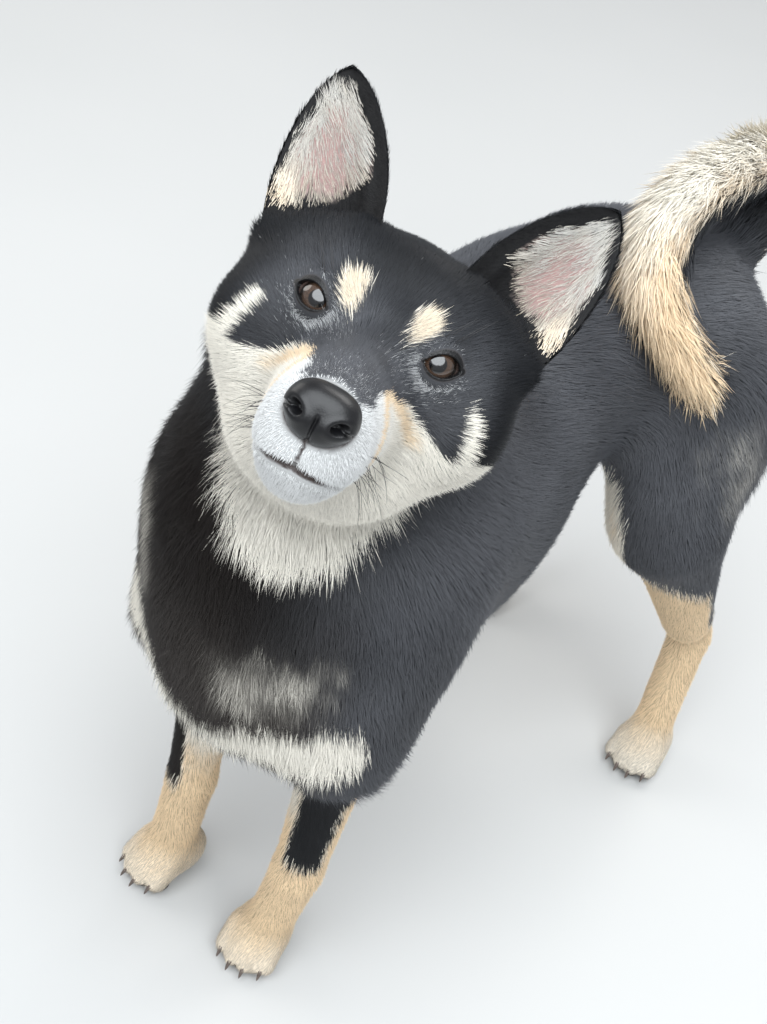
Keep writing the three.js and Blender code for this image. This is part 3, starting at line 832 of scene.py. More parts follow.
class Finish:
    """One material, with its surface shader and the nodes that feed it."""

    def __init__(self, name, **fixed):
        self.material = bpy.data.materials.new(name)
        self.material.use_nodes = True
        self.tree = self.material.node_tree
        self.shader = self.tree.nodes["Principled BSDF"]
        self.feed(**fixed)

    def node(self, kind, settings=None, output=0, **values):
        made = self.tree.nodes.new("ShaderNode" + kind)
        for key, value in (settings or {}).items():
            setattr(made, key, value)
        for key, value in values.items():
            place = int(key[1:]) if key[1:].isdigit() else key.replace("_", " ")
            connect(self.tree, made.inputs[place], value)
        return Wire(self.tree, made.outputs[output])

    def layer(self, name):
        """The three parts of a painted layer."""
        layer = self.tree.nodes.new("ShaderNodeAttribute")
        layer.attribute_name = name
        split = self.tree.nodes.new("ShaderNodeSeparateXYZ")
        self.tree.links.new(layer.outputs["Vector"], split.inputs[0])
        return [Wire(self.tree, s) for s in split.outputs]

    def blend(self, low, high, share):
        return self.node("Mix", {"data_type": "RGBA"}, output=2, _0=share, _6=low, _7=high)

    def grain(self, size, detail=3):
        place = self.node("TexCoord", output=3)
        return self.node("TexNoise", Vector=place, Scale=1 / size, Detail=detail)

    def feed(self, **values):
        for key, value in values.items():
            connect(self.tree, self.shader.inputs[key.replace("_", " ")], value)

    def bumped(self, height, depth):
        self.feed(Normal=self.node("Bump", Height=height, Distance=depth))


# The two greys are painted sheen: lighter greys that stand in for the light the black coat reflects.
BLACK = (0.0060, 0.0067, 0.0083)
BROWN_BLACK = (0.0115, 0.0086, 0.0072)
SHEEN_GREY = (0.091, 0.094, 0.104)
WARM_SHEEN_GREY = (0.092, 0.080, 0.072)
TAN = (0.92, 0.695, 0.445)
CREAM = (0.92, 0.875, 0.775)
COOL_WHITE = (0.72, 0.765, 0.83)
PINK = (0.37, 0.225, 0.205)


def coat_colour(finish):
    """The marking colours, as the painted layers share them out, with grey painted sheen on the black
    coat, painted highlights on a few strands and painted shade at the tufts' roots.
    """
    tan, pale, cool = finish.layer("marking")
    brown, painted_sheen, bare = finish.layer("shade")
    tone, along, _ = finish.layer("strand")
    dark = finish.blend(BLACK, BROWN_BLACK, brown)
    # painted sheen: grey over the black coat, browner where the coat is brown
    dark = finish.blend(dark, finish.blend(SHEEN_GREY, WARM_SHEEN_GREY, brown), painted_sheen)
    # painted highlights: a few random strands lighter bluish-grey on the black coat
    dark = finish.blend(dark, (0.085, 0.088, 0.098), tone * tone * 0.07)
    light = finish.blend(CREAM, COOL_WHITE, cool)
    light = finish.blend(light, TAN, tan)
    colour = finish.blend(dark, light, pale)
    speck = finish.grain(0.004, 2)
    # painted shade: each tuft darker toward its root, under the other hair; tone and speck vary at
    # random
    shade = (tone * 0.3 + 0.74) * (along * 0.18 + 0.86) * (speck * 0.1 + 0.93)
    return finish.blend(colour, (0, 0, 0), (1 - shade).clipped()), bare


def hair_finish(name, roughness, sheen):
    finish = Finish(
        name,
        Roughness=roughness,
        Specular_IOR_Level=0.16,
        Sheen_Weight=sheen,
        Sheen_Roughness=0.45,
        Sheen_Tint=(0.82, 0.88, 1.0),
    )
    finish.feed(Base_Color=coat_colour(finish)[0])
    return finish.material


def skin_finish():
    finish = Finish("skin", Specular_IOR_Level=0.35)
    colour, bare = coat_colour(finish)
    # painted shade: the skin between the tufts is drawn 35 per cent darker than the coat over it
    colour = finish.blend(colour, (0, 0, 0), 0.35)
    lips = finish.blend((0.010, 0.007, 0.006), (0.060, 0.042, 0.038), finish.grain(0.0015))
    pink, lid_rim, _ = finish.layer("bare_skin")
    lips = finish.blend(lips, (0.003, 0.003, 0.0035), lid_rim)
    ear_lining = finish.blend(PINK, (0.23, 0.17, 0.16), finish.grain(0.006, 3))
    colour = finish.blend(colour, ear_lining, pink)
    colour = finish.blend(colour, lips, bare)
    finish.feed(Base_Color=colour, Roughness=(0.85 - bare * 0.5).clipped())
    finish.bumped(finish.grain(1 / 1600, 2), 0.0003)
    return finish.material


def leather_finish(name, tint, size, depth, roughness):
    finish = Finish(name, Specular_IOR_Level=0.42)
    place = finish.node("TexCoord", output=3)
    cells = finish.node("TexVoronoi", {"feature": "DISTANCE_TO_EDGE"}, Vector=place, Scale=1 / size)
    broad = finish.grain(0.004, 3)
    finish.feed(
        Base_Color=finish.blend(tint, tuple(2.4 * c for c in tint), broad),
        Roughness=roughness + broad * 0.12,
    )
    finish.bumped((cells * 4).clipped(), depth)
    return finish.material


def eye_finish():
    finish = Finish("eye", Roughness=0.15, Coat_Weight=1.0, Coat_Roughness=0.02, Coat_IOR=1.5)
    out, spin, _ = finish.layer("iris")
    place = finish.node("CombineXYZ", X=spin * 46, Y=out * 4, Z=0.0)
    fibres = finish.node("TexNoise", {"noise_dimensions": "2D"}, Vector=place, Scale=1.0, Detail=3)
    brown = finish.blend((0.022, 0.012, 0.0075), (0.075, 0.043, 0.027), fibres)
    brown = finish.blend(brown, (0.006, 0.004, 0.003), ((out - 0.72) * 5).clipped())
    black = ((0.5 - out) * 16).clipped()
    iris = finish.blend(brown, (0.002, 0.002, 0.0025), black)
    white = finish.blend((0.11, 0.08, 0.07), (0.04, 0.02, 0.016), finish.grain(0.002))
    finish.feed(Base_Color=finish.blend(iris, white, ((out - 1.0) * 9).clipped()))
    return finish.material


def horn_finish():
    finish = Finish("claw_horn", Coat_Weight=0.3, Coat_Roughness=0.3)
    streaks = finish.grain(0.0012, 4)
    finish.feed(
        Base_Color=finish.blend((0.035, 0.026, 0.022), (0.14, 0.105, 0.085), streaks),
        Roughness=streaks * 0.25 + 0.3,
    )
    finish.bumped(streaks, 0.0001)
    return finish.material


short_hair = hair_finish("short_hair", 0.5, 0.03)
long_hair = hair_finish("long_hair", 0.55, 0.06)
skin_material = skin_finish()
nose_leather = leather_finish("nose_leather", (0.0025, 0.0025, 0.0030), 0.0010, 0.00002, 0.3)
pad_leather = leather_finish("pad_leather", (0.02, 0.016, 0.016), 0.0016, 0.0002, 0.55)
eye_gloss = eye_finish()
claw_horn = horn_finish()


# The skin's mesh
skin_points, skin_squares = netted(sampled(body_field))
skin_points = settled(skin_points, body_field, 3)
skin_mesh = mesh_of("skin", skin_points, skin_squares)
refined(skin_mesh, face_zone)
refined(skin_mesh, fine_zone)
refined(skin_mesh, finest_zone)
skin_points = points_of(skin_mesh)
on_face = face_zone(on_head(skin_points))
skin_points[on_face] = settled(skin_points[on_face], body_field, 2)
set_points(skin_mesh, skin_points)
skin_mesh.update()
skin_normals = normals_of(skin_mesh)
skin_points[on_face] = features(skin_points[on_face], skin_normals[on_face])
set_points(skin_mesh, skin_points)
skin_mesh.polygons.foreach_set("use_smooth", np.ones(len(skin_mesh.polygons), bool))
skin_mesh.update()
print("skin", len(skin_mesh.vertices), "points", len(skin_mesh.polygons), "faces")


def lid_rims(a):
    """One on the bare edges of the lids, wider on the upper one."""
    u, v, w = eye_frame(a)
    half = 1.2 + 1.0 * ramp(-1, 2.5, v)
    return ramp(half + 0.4, half - 0.3, eye_opening(u, v)) * (length(a - EYE) < 16) * (w > 0)


def bareness(p):
    """One on the lids' edges, the lips and the nose, where no hair grows."""
    a = mirrored(on_head(p))
    half = mix(0.4, 2.0, ramp(22, 6, a[:, 0]))
    lips = ramp(half + 0.5, half - 0.3, line_distance(a, mouth_line)[0]) * ramp(-18, -34, a[:, 1])
    split = ramp(0.9, 0.4, a[:, 0]) * ramp(-60, -63, a[:, 1]) * below_nose(a)
    return np.maximum.reduce([lid_rims(a), lips, split, ramp(1.0, -0.5, nose_gap(a))])


def nose_gap(a):
    """About how far points of the mirrored head frame lie from the nose leather."""
    return (length((a - NOSE) / NOSE_RADII) - 1) * NOSE_RADII[1]


def coat_layers(p, own, soft):
    """The painted layers that skin and hair share: the markings, the brown share, and the grey share of
    painted sheen on the black coat.
    """
    marks = markings(p, own)
    a = mirrored(on_head(p))
    # painted sheen: grey on the black coat, more on the legs and the neck on the dog's left, which faces
    # the light, none far to the front and more toward the hip
    painted_sheen = (0.9 * soft["fore_left"] + 0.6 * soft["fore_right"]) * ramp(150, 230, p[:, 2])
    painted_sheen = painted_sheen + soft["trunk"] + soft["hind_left"] + soft["hind_right"]
    painted_sheen = np.clip(painted_sheen + soft["neck"] * ramp(15, 60, p[:, 0]), 0, 1)
    painted_sheen *= np.maximum(ramp(-190, -90, p[:, 1] + 0.8 * p[:, 0]), 0.45 * ramp(345, 290, p[:, 2]))
    painted_sheen *= 0.9 + 0.3 * noise(p, 34, 81) + 0.2 * ramp(60, 200, p[:, 1])
    # painted sheen on the head: on the forehead, about the eyes, on the cheeks and on the bridge, and
    # almost none on the crown
    face = ramp(20, -8, a[:, 1]) * ramp(44, 6, a[:, 2]) + 0.2 * bump(length(a - EYE), 14)
    face = face + 0.45 * bump(length(a - [38, 14, 12]), 16) + 0.25 * ramp(-15, -55, a[:, 1])
    face *= 1 - 0.95 * bump(length(a - [3, 2, 27]), 15)
    painted_sheen = np.clip(painted_sheen + soft["head"] * 0.9 * face * (0.9 + 0.4 * noise(p, 11, 83)), 0, 1.2)
    fore = soft["trunk"] + soft["fore_left"] + soft["fore_right"]
    brown = soft["neck"] * ramp(60, 10, p[:, 0]) + fore * ramp(-120, -165, p[:, 1] + 0.6 * p[:, 0])
    brown = np.clip(brown, 0, 1)
    return marks, brown, painted_sheen


# markings, brown share and painted sheen share at the skin's points
marks, brown, painted_sheen = coat_layers(skin_points, *owners(skin_points))
none = np.zeros(len(skin_points))
paint(skin_mesh, "marking", marks[:, 0], marks[:, 1], marks[:, 3])
paint(skin_mesh, "shade", brown, painted_sheen, bareness(skin_points))
# painted shade: the skin takes about the darkness of the tufts' roots
paint(skin_mesh, "strand", none + 0.5, none + 0.2, none)
paint(skin_mesh, "bare_skin", none, lid_rims(mirrored(on_head(skin_points))), none)
ear_meshes = {side: ear(side) for side in (1, -1)}


# Hair
HEAD_MIDDLE = np.array([0, 20, -15.0])


def spread_head(p):
    d = unit(on_head(p) - HEAD_MIDDLE)
    polar = np.arccos(np.clip(-d[:, 1], -1, 1)) / math.pi
    side = unit(np.stack([d[:, 0], d[:, 2]], 1))
    return 0.5 + 0.48 * polar[:, None] * side


def spread_round(axis_low, axis_high):
    """An unwrap around an axis: the turn about it, and the way along it."""
    low = np.array(axis_low, float)
    ahead = np.array(axis_high) - low
    span = length(ahead)
    ahead = ahead / span
    side = unit(np.cross(ahead, [1.0, 0.3, 0.2]))
    other = np.cross(ahead, side)

    def spread(p):
        d = p - low
        turn = np.arctan2(d @ side, d @ other) / (2 * math.pi) + 0.5
        return np.stack([0.01 + 0.98 * turn, 0.02 + 0.96 * np.clip(d @ ahead / span, 0, 1)], 1)

    return spread


def spread_tail(p):
    at = nearest_on_tail(p)
    d = p - TAIL[at, :3]
    side = unit(np.cross(TAIL_AHEAD[at], [1.0, 0.2, 0.1]))
    turn = np.arctan2(dot(d, side), dot(d, np.cross(TAIL_AHEAD[at], side))) / (2 * math.pi) + 0.5
    return np.stack([0.01 + 0.98 * turn, 0.02 + 0.96 * at / (len(TAIL) - 1)], 1)


PATCH = 0.003  # side of a tuft's patch in the OFBake layout
SUNK = 0.5  # depth of a tuft's root in the skin
LOWEST = 0.05  # height over the floor that no tuft goes below


def tufts(name, root, out, along, size, spread, bent):
    """One mesh of tapered tufts. Straight ones are three-sided spikes, bent ones fold at a ridge."""
    long, wide, lift, sweep, tip_out = size
    n = len(root)
    side = np.cross(out, along)
    rise = np.sin(lift)[:, None] * out
    run = np.cos(lift)[:, None] * along
    base = root - SUNK * out
    tip = base + long[:, None] * (run + rise) + (sweep * long)[:, None] * side
    half = 0.5 * wide[:, None] * side
    ridge = 0.42 * wide[:, None] * out
    if bent:
        swell = (0.16 * long * np.sin(lift) + tip_out)[:, None] * out
        middle = mix(base, tip, 0.5) + swell - (0.12 * sweep * long)[:, None] * side
        rows = [base - half, base + ridge, base + half]
        rows += [middle - 0.8 * half, middle + 0.8 * ridge, middle + 0.8 * half, tip]
        faces = [(0, 4, 1), (0, 3, 4), (1, 5, 2), (1, 4, 5), (3, 6, 4), (4, 6, 5)]
        down = np.array([0, 0, 0, 0.5, 0.5, 0.5, 1])
        across = np.array([-1, 0, 1, -0.8, 0, 0.8, 0])
    else:
        rows = [base - half, base + ridge, base + half, tip]
        faces = [(0, 3, 1), (1, 3, 2), (2, 3, 0)]
        down = np.array([0, 0, 0, 1.0])
        across = np.array([-1, 0, 1, 0])
    count = len(rows)
    points = np.stack(rows, 1).reshape(-1, 3)
    points[:, 2] = np.maximum(points[:, 2], LOWEST)
    faces = (np.arange(n)[:, None, None] * count + np.array(faces)).reshape(-1, 3)
    mesh = mesh_of(name, points, faces)
    bend = across[None, :, None] * side[:, None] * 0.75
    lean = unit(out[:, None] + bend - 0.12 * along[:, None]).reshape(-1, 3)
    layer = mesh.attributes.new("custom_normal", "FLOAT_VECTOR", "POINT")
    layer.data.foreach_set("vector", lean.astype(np.float32).ravel())
    uv = spread(root)[:, None] + PATCH * np.stack([across * 0.5, down - 0.5], -1)[None]
    uv = uv.reshape(-1, 2)[faces.ravel()]
    mesh.uv_layers.new(name="OFBake").uv.foreach_set("vector", uv.astype(np.float32).ravel())
    return mesh, down


def coat_piece(name, places, size, spread, bent, marking, shade, tone):
    """A piece of tufts with the painted layers of their roots. Says how many triangles it has."""
    mesh, down = tufts(name, *places, size, spread, bent)
    count = len(down)
    paint(mesh, "marking", *np.repeat(marking, count, 0).T)
    paint(mesh, "shade", *np.repeat(shade, count, 0).T)
    paint(mesh, "strand", np.repeat(tone, count), np.tile(down, len(tone)), np.zeros(len(tone) * count))
    piece(name, mesh, long_hair if bent else short_hair)
    return len(mesh.polygons)


def scatter(faces, per_cm2, points, *others):
    """Even random places on a surface, and the other values of its corners there."""
    a, b, c = (points[faces[:, i]] for i in range(3))
    area = 0.5 * length(np.cross(b - a, c - a))
    total = np.cumsum(area * per_cm2 / 100 * HAIR_SHARE)
    count = int(total[-1])
    pick = np.searchsorted(total, (np.arange(count) + dice.random(count)) * total[-1] / count)
    u = np.sqrt(dice.random(count))
    v = dice.random(count)
    share = np.stack([1 - u, u * (1 - v), u * v], 1)
    return [np.einsum("nc,nci->ni", share, values[faces[pick]]) for values in (points, *others)]


def hair_sizes(p, soft):
    """For each place: tufts on a square centimetre, length, width and lift in degrees."""
    a = mirrored(on_head(p))
    x, y, z = a.T
    cheek = np.clip(ramp(-5, 35, y) * ramp(-5, -35, z) + 0.5 * ramp(50, 90, y), 0, 1)
    muzzle = ramp(0, -46, y)
    chest = ramp(-120, -170, p[:, 1])
    u, v, w = eye_frame(a)
    lid = ramp(9, 2, eye_opening(u, v)) * (length(a - EYE) < 18)
    table = {
        "head": (
            mix(mix(255, 185, cheek), 340, muzzle),
            mix(mix(8.0, 12.5, cheek), 5.4, muzzle) * mix(1, 0.45, lid),
            mix(mix(0.42, 0.50, cheek), 0.37, muzzle) * mix(1, 0.8, lid),
            mix(mix(10, 13, cheek), 13, muzzle),
        ),
        "neck": (165, 20, 0.58, 14),
        "trunk": (
            mix(70, 140, ramp(-120, -160, p[:, 1])),
            mix(15, 20, chest),
            mix(0.78, 0.62, chest),
            mix(11, 14, chest),
        ),
        "tail": (135, 25, 0.66, 18),
    }
    for leg in LEGS:
        high = ramp(150, 240, p[:, 2])
        foot = ramp(50, 25, p[:, 2])
        back = ramp(10, 40, p[:, 1] - LEGS[leg][0][1]) * high if leg.startswith("hind") else 0 * high
        table[leg] = (
            mix(mix(92, 60, high), 130, foot),
            mix(mix(8, 14, high), 4.6, foot) + 8 * back,
            mix(mix(0.57, 0.80, high), 0.46, foot),
            mix(mix(10, 11, high), 11, foot) + 5 * back,
        )
    per_cm2, long, wide, lift = (sum(soft[name] * table[name][k] for name in soft) for k in range(4))
    lip = ramp(7, 2.5, line_distance(a, mouth_line)[0]) * ramp(-6, -16, y)
    long = long * mix(1, 0.55, lip) * mix(1, 0.5, ramp(12, 2, nose_gap(a)))
    ear_foot = bump(length(a - [46, 36, 32]), 15) * soft["head"]
    return per_cm2, long + 3.5 * ear_foot, wide, lift + 9 * ear_foot


surface = triangles_of(skin_mesh)
middle = skin_points[surface].mean(1)
per_cm2, *_ = hair_sizes(middle, owners(middle)[1])
per_cm2 = per_cm2 * (1 - bareness(middle)) * (middle[:, 2] > 2.5)
root, out = scatter(surface, per_cm2, skin_points, normals_of(skin_mesh))
keep = bareness(root) < 0.5
root, out = root[keep], unit(out[keep])
own, soft = owners(root)
_, long, wide, lift = hair_sizes(root, soft)

loose = np.clip(soft["neck"] + soft["tail"] + soft["trunk"] * ramp(-110, -160, root[:, 1]), 0, 1)
along = lie(root, soft)
wander = noise3(root, 16, 31) * mix(0.16, 0.24, loose)[:, None]
wander += noise3(root, 5, 41) * mix(0.10, 0.30, loose)[:, None]
along = along + wander + 0.09 * dice.normal(size=root.shape)
along = unit(along - dot(along, out)[:, None] * out)
lift = lift * (1 + 0.22 * dice.normal(size=len(root))).clip(0.35, 1.8)
lift = np.radians(lift + 4 * loose * noise(root, 7, 51))
long = long * (1 + 0.16 * dice.normal(size=len(root))).clip(0.5, 1.45)
wide = wide * dice.uniform(0.75, 1.25, len(root))
tip = root + long[:, None] * (np.cos(lift)[:, None] * along + np.sin(lift)[:, None] * out)
wanted = 0.6 + 0.85 * long * np.sin(lift)
lift = lift + np.clip((wanted - body_field(tip)) / long, -0.14 * (1 - 0.5 * loose), 0.6)
lift = np.maximum(lift, 0.03)
shown = root + 0.5 * long[:, None] * along
marks, brown, painted_sheen = coat_layers(shown, own, soft)
print("tufts", len(root))
sweep = 0.05 * dice.normal(size=len(root)) * (1 + 1.5 * loose)
tip_out = 0.3 * loose
tone = dice.random(len(root)) * 0.7 + 0.15 * (1 + noise(root, 12, 61))
flip = dice.random(len(root)) < marks[:, 2]
marks[:, 1] = np.where(flip, 0.25 + 0.45 * dice.random(len(root)), marks[:, 1])
marks[:, 0] = np.where(flip, 0, marks[:, 0])
marks[:, 3] = np.where(flip, 0.6, marks[:, 3])
on_face_flip = flip & own["head"]
wide = wide * np.where(on_face_flip, 0.75, 1)
long = long * np.where(on_face_flip, 0.6, 1)
stray = dice.random(len(root))
between = (marks[:, 1] > 0.02) & (marks[:, 1] < 0.98) & ~flip
marks[:, 1] = np.where(between, stray < marks[:, 1], marks[:, 1])
marks[:, 1] = np.maximum(marks[:, 1], marks[:, 4] * dice.uniform(0.3, 1.7, len(root)))

label = np.full(len(root), "coat_crown", dtype=object)
for part in own:
    if part != "head":
        label[own[part]] = "coat_" + part
label[own["trunk"] & (root[:, 1] < -140)] = "coat_chest"
label[own["head"] & (on_head(root)[:, 1] < 12)] = "coat_face"
SPREADS = {
    "coat_trunk": spread_round((-8, -190, 310), (-8, 230, 310)),
    "coat_neck": spread_round((0, -130, 250), (0, -130, 480)),
    "coat_chest": spread_round((0, -130, 180), (0, -130, 330)),
    "coat_crown": spread_head,
    "coat_face": spread_head,
    "coat_tail": spread_tail,
}
for leg, (top, knee, low, paw, yaw) in LEGS.items():
    SPREADS["coat_" + leg] = spread_round((paw[0], low[1], 0), (paw[0], low[1], 340))

MOST = 190000  # triangles of a piece
# brown share, painted sheen share and no bareness for each tuft
shade = np.stack([brown, painted_sheen, 0 * painted_sheen], 1)
hair_count = 0
for name in sorted(set(label)):
    mine = np.nonzero(label == name)[0]
    mine = mine[np.argsort(root[mine, 1], kind="stable")]
    bent = name == "coat_tail"
    pieces = max(1, math.ceil(len(mine) * (6 if bent else 3) / MOST))
    for part in range(pieces):
        some = mine[part * len(mine) // pieces:(part + 1) * len(mine) // pieces]
        title = name if pieces == 1 else f"{name}_{part + 1}"
        places = (root[some], out[some], along[some])
        size = (long[some], wide[some], lift[some], sweep[some], tip_out[some])
        marking = marks[some][:, [0, 1, 3]]
        hair_count += coat_piece(
            title, places, size, SPREADS[name], bent, marking, shade[some], tone[some])


# Ears: their skin joins the body's, and their hair is laid by height and place across
ear_hair = []
for side, (points, faces, tags) in ear_meshes.items():
    ear_mesh = mesh_of("ear_work", points, faces)
    tri = triangles_of(ear_mesh)
    t_mid = tags[tri].mean(1)
    cupped = t_mid[:, 2] > 0
    rim = ear_rim(t_mid[:, 0], t_mid[:, 1]) > -0.03
    centre = bump(t_mid[:, 1] - 0.1, 0.45) * ramp(0.75, 0.35, t_mid[:, 0])
    per = np.where(cupped & ~rim, mix(150, 60, centre), 210) * (t_mid[:, 0] > -0.12)
    ear_hair.append((side, *scatter(tri, per, points, normals_of(ear_mesh), tags)))
    bpy.data.meshes.remove(ear_mesh)

for side, root, out, tag in ear_hair:
    out = unit(out)
    n = len(root)
    s, t, cup = tag.T
    mirror = np.array([side, 1, 1])
    up = (EAR_UP * mirror) @ HEAD.T
    across = (EAR_SIDE * mirror) @ HEAD.T
    inside = ramp(-0.05, 0.15, cup)
    grain = noise(root, 5, 71)
    inward = -np.sign(t) * ramp(0.2, 0.8, np.abs(t))
    along = up * mix(1.0, 0.85, inside)[:, None] + across * (inside * (0.55 * inward + 0.25))[:, None]
    along = along + 0.25 * noise3(root, 7, 75) + 0.10 * dice.normal(size=root.shape)
    along = unit(along - dot(along, out)[:, None] * out)
    edge = ear_rim(s, t) + 0.06 * grain
    lining = inside * ramp(0.10, -0.08, edge)
    centre = bump(t - 0.1, 0.45) * ramp(0.75, 0.35, s)
    long = mix(4.6, mix(9.5, 6.0, centre), lining) * mix(0.4, 1, ramp(1, 0.72, s))
    long = long * (1 + 0.2 * dice.normal(size=n)).clip(0.4, 1.6)
    wide = mix(0.46, 0.36, lining) * dice.uniform(0.75, 1.25, n)
    lift = np.radians(mix(9, 17, lining) * (1 + 0.25 * dice.normal(size=n)).clip(0.3, 1.8))
    corner = bump(t - 0.85, 0.25) * bump(s + 0.02, 0.14) * inside
    tan_share = 0.10 + 0.1 * grain + 0.12 * centre + 0.35 * corner + 0.2 * ramp(0.35, 0.05, s)
    tan_share = np.clip(tan_share, 0, 1)
    pale = np.clip(lining + corner, 0, 1)
    paleness = np.where(corner > 0.3, 0.95, 0.55 - 0.22 * centre + 0.3 * dice.random(n))
    paleness = (pale > dice.random(n)) * paleness
    rows = np.stack([tan_share, paleness, 0.3 * lining], 1)
    size = (long, wide, lift, 0.05 * dice.normal(size=n), 0 * long)
    title = "coat_ear_left" if side > 0 else "coat_ear_right"
    spread = spread_round(off_head(EAR_FOOT * mirror), off_head(EAR_TIP * mirror))
    shade = np.zeros((n, 3)) + [0.3, 0, 0]
    tone = dice.random(n) * 0.9
    hair_count += coat_piece(title, (root, out, along), size, spread, False, rows, shade, tone)
print("hair triangles", hair_count)

work = bmesh.new()
work.from_mesh(skin_mesh)
marking_layer, shade_layer, strand_layer, bare_layer = (
    work.verts.layers.float_vector[name] for name in ("marking", "shade", "strand", "bare_skin")
)
for points, faces, tags in ear_meshes.values():
    made = []
    for place, (s, t, cup) in zip((points + SHIFT) * MM, tags):
        vert = work.verts.new(place)
        lining = float(cup > 0.05) * float(ramp(-0.02, -0.12, ear_rim(s, t)))
        vert[marking_layer] = (0.2, lining, 0.2)
        vert[shade_layer] = (0.3, 0, 0)
        vert[strand_layer] = (0.5, 0.3, 0)
        vert[bare_layer] = (lining, 0, 0)
        made.append(vert)
    for corners in faces:
        work.faces.new([made[i] for i in corners]).smooth = True
work.to_mesh(skin_mesh)
work.free()
skin = piece("skin", skin_mesh, skin_material)
flesh = ["trunk", "neck", "head", "tail_root", "tail_arch", "tail_tip", "ear_left", "ear_right"]
for side in ("left", "right"):
    flesh += [f"{part}_{side}" for part in ("foreleg", "forepaw", "thigh", "shank", "hindpaw")]
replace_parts(skin, *flesh)


# Eyes: a ball with a low dome over the iris, turned to look at the viewer
VIEWER = np.array([376, -617, 825.0])


def ball_points(rings, around):
    """Points and faces of a ball of radius one, and each point's angles from and about its axis."""
    polar = np.repeat(np.linspace(0, math.pi, rings), around)
    turn = np.tile(np.arange(around) / around * 2 * math.pi, rings)
    points = np.stack([np.sin(polar) * np.cos(turn), np.sin(polar) * np.sin(turn), np.cos(polar)], 1)
    return points, ring_faces(rings, around)[:, [0, 3, 2, 1]], polar, turn


for side, name in ((1, "left"), (-1, "right")):
    centre = off_head(EYE * [side, 1, 1])
    grid, faces, polar, turn = ball_points(49, 64)
    gaze = unit(mix(unit(VIEWER - centre), (EYE_FACES * [side, 1, 1]) @ HEAD.T, 0.25))
    level = unit(np.cross([0, 0, 1.0], gaze))
    axes = np.stack([level, np.cross(gaze, level), gaze])
    across = np.sin(polar) * EYE_RADIUS
    dome = np.where((polar < 1.2), 0.5 * ramp(7.2, 2.0, across), 0)
    points = centre + (grid * (EYE_RADIUS - 0.25 + dome)[:, None]) @ axes
    ball = mesh_of("eyeball_" + name, points, faces)
    iris = np.where(polar < 1.5, across / 7.6, 2)
    paint(ball, "iris", iris, np.cos(turn) * 0.5 + 0.5, 0 * turn)
    made = piece("eyeball_" + name, ball, eye_gloss)
    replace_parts(made, "eye_" + name)

# Nose: the leather with its nostrils, wings and the groove below
grid, faces, polar, turn = ball_points(121, 160)
grid = grid[:, [0, 2, 1]] * [1, -1, 1]
d = unit(grid)
a = np.abs(d[:, 0])
square = (np.abs(d) ** 2.5).sum(1) ** (-1 / 2.5)
shape = d * square[:, None]
hole = np.hypot((a - 0.60) / 0.20, (d[:, 2] + 0.10 - 0.35 * (a - 0.6)) / 0.20)
hole = np.where(d[:, 1] < 0, hole, 9)
slit = np.hypot((a - 0.86) / 0.18, (d[:, 2] + 0.16) / 0.07)
slit = np.where(d[:, 1] < 0.25, slit, 9)
push = -4.6 * ramp(1.15, 0.55, hole) - 1.8 * ramp(1.2, 0.4, slit)
push += 0.4 * bump(hole - 1.6, 0.5) * (d[:, 1] < 0)
push -= 1.1 * bump(d[:, 0], 0.055) * ramp(0.05, -0.25, d[:, 2]) * (d[:, 1] < 0)
push -= 0.35 * bump(d[:, 0], 0.16) * ramp(0.4, 0.0, d[:, 2]) * (d[:, 1] < 0)
points = shape * NOSE_RADII * 0.985 + push[:, None] * d
points[:, 0] *= mix(1.0, 0.78, ramp(0.0, -0.95, d[:, 2]))
points = points + NOSE
nose = mesh_of("nose_pad", off_head(points), faces[:, ::-1])
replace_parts(piece("nose_pad", nose, nose_leather), "nose")


# Claws and pads
def swept(line, radii, around=12):
    """A tapering tube along a line, open at both ends."""
    line = np.array(line, float)
    ahead = unit(np.gradient(line, axis=0))
    side = unit(np.cross(ahead, [0.31, 0.2, 0.93]))
    other = np.cross(ahead, side)
    turn = np.arange(around) / around * 2 * math.pi
    ring = np.cos(turn)[None, :, None] * side[:, None] + np.sin(turn)[None, :, None] * other[:, None]
    points = line[:, None] + np.array(radii)[:, None, None] * ring
    return points.reshape(-1, 3), ring_faces(len(line), around)


def joined(parts):
    points, faces, start = [], [], 0
    for some_points, some_faces in parts:
        points.append(some_points)
        faces.append(some_faces + start)
        start += len(some_points)
    return np.vstack(points), np.vstack(faces)


for leg, (top, knee, low, paw, yaw) in LEGS.items():
    kind, side = leg.split("_")
    claws = []
    pads = []
    for i in TOES:
        reach = toe_reach(i)
        t = np.linspace(0, 1, 12)
        y = -reach - 1.5 - 7.6 * t
        z = 9.6 + 0.7 * np.sin(t * math.pi) - 5.2 * t**1.7
        x = i * (TOE_PITCH + 0.35 * t)
        line = np.array([paw_point(leg, *place) for place in zip(x, y, z)])
        claws.append(swept(line, 1.95 * (1 - t) ** 0.5 * (1 - 0.2 * t) + 0.22))
    made = piece(f"claws_{leg}", mesh_of(f"claws_{leg}", *joined(claws)), claw_horn)
    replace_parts(made, *(f"{kind}_claw_{side}_{i + 1}" for i in range(4)))
    grid, faces, *_ = ball_points(25, 32)
    soles = [(i * TOE_PITCH * 0.86, -toe_reach(i) + 4.5, (4.2, 5.6, 2.6)) for i in TOES]
    for x, y, radii in (*soles, (0, 6, (10, 6.93, 3))):
        pad = (grid * radii) @ turn_about("Z", yaw).T + paw_point(leg, x, y, radii[2] * 0.55)
        pad[:, 2] = np.maximum(pad[:, 2], 0.0)
        pads.append((pad, faces))
    piece(f"pads_{leg}", mesh_of(f"pads_{leg}", *joined(pads)), pad_leather)


# Whiskers
def whisker(side, spot, long, start, curl, radius):
    spot = on_skin([spot] * np.array([side, 1, 1]), 8)[0]
    t = np.linspace(0, 1, 7)[:, None]
    line = spot + long * (t * start + t * t * curl)
    return swept(off_head(line), radius * (1 - t[:, 0]) + 0.03, 5)


